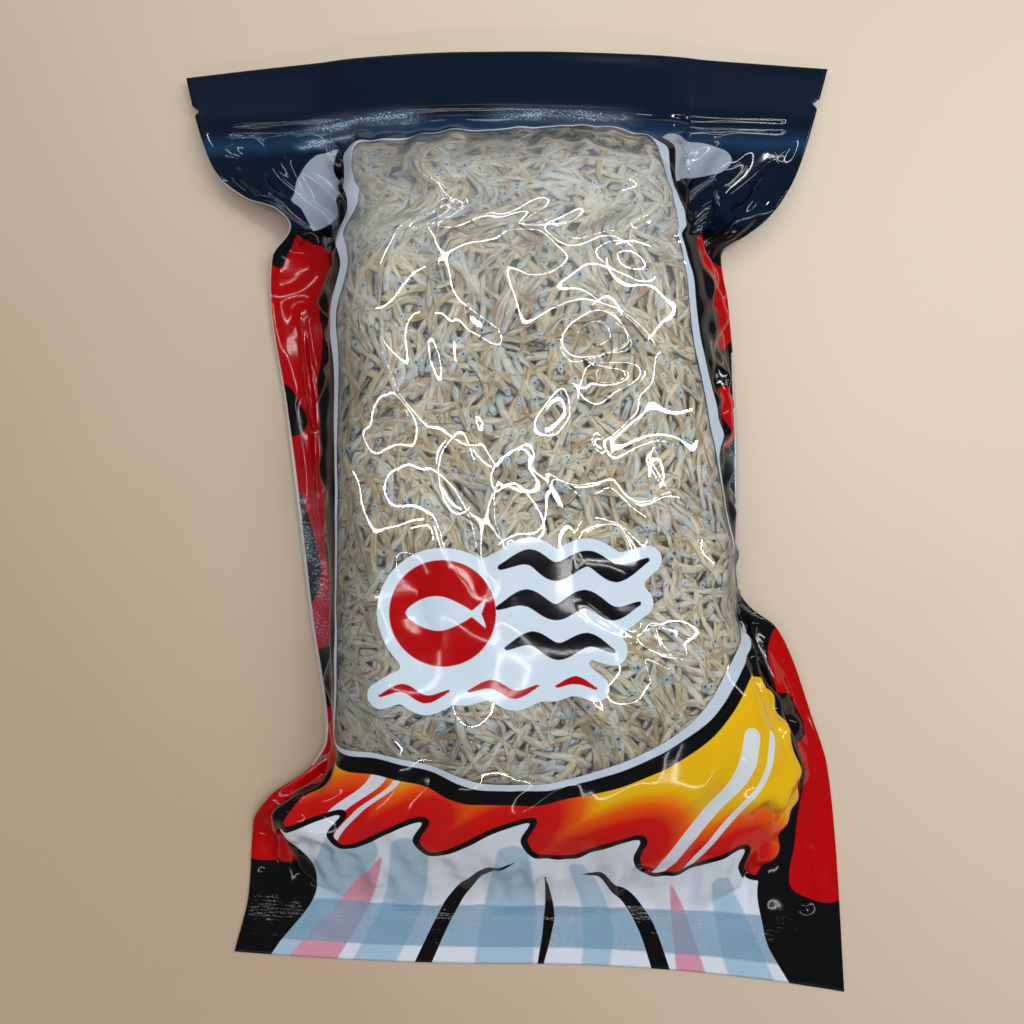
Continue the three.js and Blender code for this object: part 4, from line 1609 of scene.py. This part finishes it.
class Bench:
    """A material while its nodes are being joined up."""

    def __init__(self, name: str) -> None:
        """Starts an empty material.

        Args:
            name: the material's name.
        """
        self.material = bpy.data.materials.new(name)
        self.material.use_nodes = True
        self.material.node_tree.nodes.clear()

    def node(
        self, kind: str, settings: Optional[dict] = None, inputs: Optional[dict] = None,
    ) -> bpy.types.Node:
        """Adds a node.

        Args:
            kind: the node's type.
            settings: its properties; stops are a ramp's places and colours.
            inputs: values or wires for its sockets, by name or number.

        Returns:
            The node.
        """
        made = self.material.node_tree.nodes.new(kind)
        for key, value in (settings or {}).items():
            if key != "stops":
                setattr(made, key, value)
                continue
            ramp = made.color_ramp
            while len(ramp.elements) < len(value):
                ramp.elements.new(1)
            for element, (place, colour) in zip(ramp.elements, value):
                element.position, element.color = place, colour
        for key, value in (inputs or {}).items():
            if isinstance(value, Wire):
                self.material.node_tree.links.new(value.socket, made.inputs[key])
            else:
                made.inputs[key].default_value = value
        return made

    def wire(
        self, kind: str, settings: Optional[dict] = None, inputs: Optional[dict] = None,
        output: Union[int, str] = 0,
    ) -> Wire:
        """Adds a node and takes one of its outputs."""
        return Wire(self, self.node(kind, settings, inputs).outputs[output])

    def attribute(self, name: str, output: str = "Fac") -> Wire:
        """A number or vector kept on the piece's points."""
        return self.wire("ShaderNodeAttribute", {"attribute_name": name}, output=output)

    def parts(self, vector: Wire) -> tuple[Wire, Wire, Wire]:
        """The three numbers of a vector."""
        split = self.node("ShaderNodeSeparateXYZ", inputs={0: vector})
        return tuple(Wire(self, socket) for socket in split.outputs)

    def joined(self, x: Value, y: Value, z: Value) -> Wire:
        """A vector of three numbers."""
        return self.wire("ShaderNodeCombineXYZ", inputs={0: x, 1: y, 2: z})

    def within(self, distance: Wire, softness: float = 0.25) -> Wire:
        """1 inside a shape and 0 outside it, from the distance to its edge."""
        return (0.5 - distance * (1 / softness)).held()

    def mix(self, share: Value, under: Value, over: Value) -> Wire:
        """A colour laid over another by a share."""
        inputs = {0: share, 6: under, 7: over}
        return self.wire("ShaderNodeMix", {"data_type": "RGBA"}, inputs, 2)

    def ink(self, under: Value, name: str, colour: Value, softness: float = 0.25) -> Wire:
        """A colour laid over another inside the shape whose distances a piece keeps."""
        return self.mix(self.within(self.attribute(name), softness), under, colour)

    def ramp(self, value: Wire, stops: Sequence[tuple[float, Colour]]) -> Wire:
        """A colour that follows a number."""
        return self.wire("ShaderNodeValToRGB", {"stops": stops}, {0: value})

    def noise(self, scale: float, detail: float = 3, vector: Optional[Wire] = None) -> Wire:
        """Random cloudiness from 0 to 1, by Object place in metres unless a vector is given.

        Args:
            scale: cells in a unit of length.
            detail: how many finer layers it has.
            vector: where it is read.

        Returns:
            The noise.
        """
        if vector is None:
            vector = self.wire("ShaderNodeTexCoord", output="Object")
        inputs = {"Vector": vector, "Scale": scale, "Detail": detail}
        return self.wire("ShaderNodeTexNoise", inputs=inputs)

    def bump(self, height: Wire, depth: float, strength: float = 1.0) -> Wire:
        """A normal from a height, whose full range is a depth in metres."""
        inputs = {"Strength": strength, "Distance": depth, "Height": height}
        return self.wire("ShaderNodeBump", inputs=inputs)

    def finish(self, shader: Wire) -> bpy.types.Material:
        """Ends the material with a shader."""
        self.node("ShaderNodeOutputMaterial", inputs={"Surface": shader})
        return self.material

    def solid(self, **inputs: Value) -> bpy.types.Material:
        """Ends the material as a Principled surface; names have _ for a blank."""
        named = {key.replace("_", " "): value for key, value in inputs.items()}
        return self.finish(self.wire("ShaderNodeBsdfPrincipled", inputs=named))


WHITE = paint(206, 222, 236)
BLACK = paint(9, 9, 12)
RED = paint(176, 1, 5)
NAVY = paint(6, 22, 42)
FISH_TONES = {
    Kind.PALE: (paint(220, 216, 198), paint(160, 146, 114), paint(192, 202, 204)),
    Kind.GOLDEN: (paint(218, 205, 170), paint(162, 140, 98), paint(186, 192, 184)),
    Kind.SILVER: (paint(214, 214, 206), paint(146, 142, 126), paint(190, 204, 212)),
}


@dataclass(frozen=True)
class PrintedFilm:
    """Glossy film printed in fields of colour, with an embossed matte seal, painted glints, a painted
    sheen and white ink greyed in places as painted shade.
    """

    roughness: float = 0.05
    seal_roughness: float = 0.15
    satin: float = 0.12
    satin_from: float = 162.0
    crinkle: float = 0.00004
    gloss: float = 0.36
    # Painted shade: the white patches' ink, greyed as if in shade.
    patch: Colour = paint(146, 158, 170)
    # Painted glints: the pale colour of the flecks where they would catch the light.
    painted_glint_colour: Colour = paint(150, 176, 200)
    # The pale line round the window: a grey-blue white, darker partly as painted shade of the steep
    # walls.
    outline: Colour = paint(184, 197, 212)
    black_line: float = 3.4
    border: Colour = paint(198, 190, 182)
    panel: Colour = paint(208, 215, 227)
    blue: Colour = paint(160, 186, 206)
    pink: Colour = paint(204, 142, 162)
    # Painted sheen: a lighter navy for the band between the zip and the window.
    painted_sheen: Colour = paint(24, 54, 84)
    painted_sheen_at: float = 148.0
    seal: Colour = paint(104, 143, 168)
    hatch_pitch: float = 1.5
    sky: tuple[tuple[float, Colour], ...] = (
        (0.0, paint(186, 10, 16)), (0.4, paint(198, 20, 14)), (0.66, paint(224, 88, 12)),
        (0.92, paint(222, 176, 16)),
    )

    def _fields(self, bench: Bench, g: Wire) -> Wire:
        """The colours of the printed fields.

        Args:
            bench: the material.
            g: the place along the film.

        Returns:
            The colour before the seal and the flecks.
        """
        panel = bench.ink(bench.ink(self.panel, "blue", self.blue, 1.2), "pink", self.pink, 0.8)
        sky = bench.ramp(bench.attribute("glow"), self.sky)
        sky = bench.mix(bench.within(bench.attribute("ray")) * 0.85, sky, WHITE)
        colour = bench.ink(bench.ink(bench.ink(BLACK, "red", RED), "panel", panel), "sky", sky)
        line = bench.attribute("line")
        colour = bench.mix(bench.within(line - self.black_line), colour, BLACK)
        # Painted sheen: the navy turns lighter in a band under the zip, where the film catches the
        # light.
        painted_sheen = (1.0 - (g - self.painted_sheen_at).size() * 0.11).held()
        colour = bench.ink(colour, "navy", bench.mix(painted_sheen, NAVY, self.painted_sheen))
        # Painted shade: the white patches take the greyed white.
        colour = bench.ink(bench.ink(colour, "white", self.patch), "edge", self.border)
        # The pale line round the window, its white darker partly as painted shade.
        return bench.mix(bench.within(line), colour, self.outline)

    def make(self) -> bpy.types.Material:
        """Makes the material.

        Returns:
            The material.
        """
        bench = Bench("printed_film")
        f, g, _ = bench.parts(bench.attribute("film", "Vector"))
        seal = bench.within(bench.attribute("seal"), 1.0)
        bright = bench.within(bench.attribute("panel"))
        worn = bench.noise(900, 2)
        share = seal * bright * (0.62 + worn * 0.3)
        colour = bench.mix(share, self._fields(bench, g), self.seal)
        # Painted glints: pale flecks laid into the colour under the zip, at the sides and on the pale
        # seal; the same mask also raises the embossing's bump.
        spark = bench.attribute("spark")
        dense = (spark + seal * bright * 0.34).held()
        streaks = bench.noise(1.1, 2, bench.joined(f, g * 1.7, 0.0))
        painted_glints = ((streaks + dense * 0.32 - 0.78) * 12).held() * dense
        colour = bench.mix((painted_glints * 1.6 + spark * 0.2).held(), colour, self.painted_glint_colour)
        turn = math.pi / self.hatch_pitch
        hatch = ((f + g) * turn).sine() * ((f - g) * turn).sine()
        crinkle = bench.noise(240, 4)
        rough = crinkle * 0.05 + self.roughness + seal * bright * self.seal_roughness
        rough += bench.within(self.satin_from - g, 6.0) * self.satin
        height = crinkle * 0.5 + seal * (hatch * 0.5 + worn * 1.6) + spark * worn * 2.4
        return bench.solid(
            Base_Color=colour, Roughness=rough, Normal=bench.bump(height, self.crinkle),
            Specular_IOR_Level=self.gloss,
        )


@dataclass(frozen=True)
class BadgeFilm:
    """The badge printed on the window: white ground, red disc with a fish, brushed waves."""

    roughness: float = 0.05
    crinkle: float = 0.00002

    def make(self) -> bpy.types.Material:
        """Makes the material.

        Returns:
            The material.
        """
        bench = Bench("window_badge")
        colour = WHITE
        for name, ink in {"disc": RED, "fish": WHITE, "dash": RED, "stroke": BLACK}.items():
            colour = bench.ink(colour, name, ink)
        crinkle = bench.noise(240, 4)
        return bench.solid(
            Base_Color=colour, Roughness=crinkle * 0.06 + self.roughness,
            Normal=bench.bump(crinkle, self.crinkle),
        )


@dataclass(frozen=True)
class ClearFilm:
    """Clear glossy film with a little haze of its own, and more milky white towards the header as a
    painted reflection.
    """

    index: float = 1.6
    roughness: float = 0.017
    haze: float = 0.05
    painted_reflection: float = 0.15
    painted_reflection_from: float = 82.0
    painted_reflection_to: float = 134.0
    haze_and_painted_reflection: Colour = paint(222, 232, 240)

    def make(self) -> bpy.types.Material:
        """Makes the material.

        Returns:
            The material.
        """
        bench = Bench("clear_film")
        _, g, _ = bench.parts(bench.attribute("film", "Vector"))
        # Painted reflection: milky white laid over the clear film towards the header, patchy by
        # noise, on top of the film's own haze.
        high = bench.within(self.painted_reflection_from - g, 50.0)
        high *= 1.0 - bench.within(self.painted_reflection_to - g, 20.0) * 0.6
        share = high * (bench.noise(26, 2) * 2.0).held() * self.painted_reflection + self.haze
        clear = bench.wire("ShaderNodeBsdfTransparent", inputs={"Color": (1, 1, 1, 1)})
        haze = bench.wire("ShaderNodeBsdfDiffuse", inputs={"Color": self.haze_and_painted_reflection})
        body = bench.wire("ShaderNodeMixShader", inputs={0: share, 1: clear, 2: haze})
        gloss = bench.wire(
            "ShaderNodeBsdfGlossy", inputs={"Color": (1, 1, 1, 1), "Roughness": self.roughness},
        )
        fresnel = bench.wire("ShaderNodeFresnel", inputs={"IOR": self.index})
        return bench.finish(
            bench.wire("ShaderNodeMixShader", inputs={0: fresnel, 1: body, 2: gloss}))


@dataclass(frozen=True)
class BackFilm:
    """The back's plain print: dark, with the header's navy, a red band and a pale field."""

    roughness: float = 0.26
    crinkle: float = 0.0001
    navy_from: float = 124.0
    band_at: float = -146.0
    band_half: float = 12.0
    field_half: Pair = (70, 105)
    pale: Colour = paint(204, 208, 212)
    shade: Colour = paint(196, 200, 206)

    def make(self) -> bpy.types.Material:
        """Makes the material.

        Returns:
            The material.
        """
        bench = Bench("back_film")
        f, g, _ = bench.parts(bench.attribute("film", "Vector"))
        colour = bench.mix(bench.within(self.navy_from - g, 0.5), BLACK, NAVY)
        band = (g - self.band_at).size() - self.band_half
        colour = bench.mix(bench.within(band, 0.5), colour, RED)
        across, along = self.field_half
        inner = bench.within(f.size() - across, 0.5) * bench.within(g.size() - along, 0.5)
        colour = bench.mix(inner, colour, bench.mix(bench.noise(30), self.pale, self.shade))
        crinkle = bench.noise(150, 4)
        return bench.solid(
            Base_Color=colour, Roughness=crinkle * 0.15 + self.roughness,
            Normal=bench.bump(crinkle, self.crinkle),
        )


@dataclass(frozen=True)
class DriedFish:
    """Dry, sinewy fish flesh of one tone, paler and darker along the body."""

    name: str
    light: Colour
    dark: Colour
    head: Colour
    gut: Colour = paint(158, 124, 80)
    gut_at: float = 0.3
    roe: Colour = paint(196, 104, 48)
    roe_at: float = 0.27
    roughness: float = 0.5
    gloss: float = 0.4
    relief: float = 0.0004

    def make(self) -> bpy.types.Material:
        """Makes the material.

        Returns:
            The material.
        """
        bench = Bench(self.name)
        along, around, tint = bench.parts(bench.attribute("body", "Vector"))
        place = bench.joined(along * 6 + tint * 60, around * 2.6, tint * 90)
        sinew = bench.noise(1.2, 2, place)
        patch = bench.noise(160, 2)
        shade = (sinew * 2.8 + patch + tint * 0.6 - 1.75).held()
        body = bench.mix(shade, self.light, self.dark)
        gut = (1.0 - (along - self.gut_at).size() * 6).held() * (tint * 3.0 - 1.9).held()
        body = bench.mix(gut * 0.6, body, self.gut)
        roe = (1.0 - (along - self.roe_at).size() * 9).held() * (tint * 120.0 - 118.6).held()
        body = bench.mix(roe, body, self.roe)
        colour = bench.mix((1.8 - along * 8).held() * 0.75, body, self.head)
        return bench.solid(
            Base_Color=colour, Roughness=self.roughness + patch * 0.15,
            Normal=bench.bump(sinew + patch * 0.5, self.relief), Specular_IOR_Level=self.gloss,
        )


@dataclass(frozen=True)
class FishEye:
    """An eye: dark middle in a silvery blue ring, with a dull rim."""

    pupil: float = 0.46
    rim_from: float = 0.78
    roughness: float = 0.3
    blue: Colour = paint(140, 172, 192)
    silver: Colour = paint(206, 220, 226)
    rim: Colour = paint(166, 160, 142)
    dark: Colour = paint(22, 32, 50)

    def make(self) -> bpy.types.Material:
        """Makes the material.

        Returns:
            The material.
        """
        bench = Bench("whitebait_eyes")
        radial, tint, _ = bench.parts(bench.attribute("eye", "Vector"))
        ring = bench.mix(tint, self.blue, self.silver)
        colour = bench.mix(((radial - self.rim_from) * 6).held(), ring, self.rim)
        pupil = radial - self.pupil + tint * 0.22
        colour = bench.mix(bench.within(pupil, 0.12), colour, self.dark)
        return bench.solid(Base_Color=colour, Roughness=self.roughness)


@dataclass(frozen=True)
class PaintedShadeBed:
    """Painted shade: dark browns for the shaded depths between the fish."""

    roughness: float = 0.7
    relief: float = 0.0006
    # Painted shade: dark and light browns, varied at random by grain.
    dark: Colour = paint(84, 50, 26)
    light: Colour = paint(150, 108, 62)

    def make(self) -> bpy.types.Material:
        """Makes the material.

        Returns:
            The material.
        """
        bench = Bench("whitebait_bed")
        grain = bench.noise(260, 4)
        return bench.solid(
            Base_Color=bench.mix(grain, self.dark, self.light), Roughness=self.roughness,
            Normal=bench.bump(grain, self.relief),
        )


@dataclass(frozen=True)
class Table:
    """The plain pale surface that the pouch lies on."""

    size: float = 3.0
    drop: float = 0.0002
    roughness: float = 0.45
    gloss: float = 0.3
    colour: Colour = paint(217, 202, 182)
    # The painted shade's darker colour.
    shade: Colour = paint(184, 162, 138)

    def _finish(self) -> bpy.types.Material:
        """Makes its material, with painted shade: darker towards the picture's lower left corner and
        paler towards its far right corner.

        Returns:
            The material.
        """
        bench = Bench("table")
        x, y, _ = bench.parts(bench.wire("ShaderNodeTexCoord", output="Object"))
        # Painted shade: darker towards the lower left, where the light falls off, with some random
        # tone from the noise.
        share = 0.34 - x * 2.6 - y * 2.2 + bench.noise(9, 4) * 0.2
        colour = bench.mix(share.held(), self.colour, self.shade)
        return bench.solid(
            Base_Color=colour, Roughness=self.roughness, Specular_IOR_Level=self.gloss)

    def build(self) -> None:
        """Makes the table."""
        flat = bmesh.new()
        bmesh.ops.create_grid(flat, x_segments=2, y_segments=2, size=self.size / 2)
        bmesh.ops.translate(flat, verts=flat.verts, vec=(0, 0, -self.drop))
        mesh = bpy.data.meshes.new("table")
        flat.to_mesh(mesh)
        flat.free()
        mesh.materials.append(self._finish())
        stand("table", mesh)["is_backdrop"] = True
        LOG.info("table: %.1f m wide", self.size)


@dataclass(frozen=True)
class Lamp:
    """A flat lamp that looks at the pouch."""

    name: str
    place: tuple[float, float, float]
    size: Pair
    power: float

    def build(self) -> None:
        """Makes the lamp."""
        light = bpy.data.lights.new(self.name, "AREA")
        light.shape = "RECTANGLE"
        light.size, light.size_y = self.size
        light.energy = self.power
        aim = (-Vector(self.place)).to_track_quat("-Z", "Y").to_matrix()
        stand(self.name, light).matrix_world = Matrix.Translation(self.place) @ aim.to_4x4()


@dataclass(frozen=True)
class Studio:
    """The lamps, the surrounding light and the camera straight above."""

    height: float = 0.42
    covers: float = 0.3958
    sensor: float = 36.0
    clip_start: float = 0.01
    surround: float = 0.12
    tint: Colour = (0.96, 0.98, 1.0, 1.0)
    lamps: tuple[Lamp, ...] = (
        Lamp("tube_left", (-0.3, 0.1, 1.5), (0.009, 1.6), 2.3),
        Lamp("tube_right", (0.42, 0.1, 1.5), (0.009, 1.6), 2.9),
        Lamp("tube_far", (0.05, 0.5, 1.5), (1.6, 0.009), 2.9),
        Lamp("tube_near", (0.0, -0.42, 1.5), (1.6, 0.009), 1.7),
        Lamp("outer_left", (-0.85, 0.0, 1.3), (0.02, 1.6), 1.9),
        Lamp("outer_right", (0.95, 0.1, 1.3), (0.03, 1.6), 4.0),
        Lamp("outer_far", (0.3, 0.68, 1.5), (1.5, 0.025), 3.8),
        Lamp("high_far", (-0.05, 0.95, 1.45), (0.9, 0.01), 1.6),
        Lamp("outer_near", (0.1, -1.3, 1.2), (1.6, 0.03), 2.6),
        Lamp("key", (0.62, 0.42, 0.9), (0.02, 0.7), 2.8),
    )

    def build(self, centre: np.ndarray) -> None:
        """Makes them all.

        Args:
            centre: the point of the table at the picture's middle.
        """
        for lamp in self.lamps:
            lamp.build()
        world = bpy.data.worlds.new("studio")
        world.use_nodes = True
        light = world.node_tree.nodes["Background"].inputs
        light["Color"].default_value = self.tint
        light["Strength"].default_value = self.surround
        scene = bpy.context.scene
        scene.world = world
        scene.view_settings.view_transform = "Standard"
        lens = bpy.data.cameras.new("camera")
        lens.sensor_width = self.sensor
        lens.lens = self.sensor * self.height / self.covers
        lens.clip_start = self.clip_start
        scene.camera = stand("camera", lens)
        scene.camera.location = (centre[0], centre[1], self.height)
        LOG.info("studio: %d lamps", len(self.lamps))


def main() -> None:
    """Builds the pouch, the fish, the table, the light and the camera."""
    logging.basicConfig(level=logging.INFO, format="%(name)s: %(message)s")
    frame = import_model()
    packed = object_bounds()
    LOG.info("packed nodes: %s", ", ".join(sorted(frame["nodes"])))
    shop = Workshop(*packed)
    plan = PrintPlan()
    film = FilmShape()
    film.wrinkle(plan.window)
    finishes = {
        "printed_film": PrintedFilm().make(),
        "window_film": ClearFilm().make(),
        "window_badge": BadgeFilm().make(),
        "back_film": BackFilm().make(),
        "whitebait_eyes": FishEye().make(),
        "whitebait_bed": PaintedShadeBed().make(),
    }
    for kind, tones in FISH_TONES.items():
        finishes[kind.piece] = DriedFish(kind.piece, *tones).make()
    Pouch(film, plan, shop).build(finishes)
    FishHeap(film, plan.window, shop).build(finishes)
    Table().build()
    Studio().build(shop.metres(np.zeros(3)))


if __name__ == "__main__":
    main()
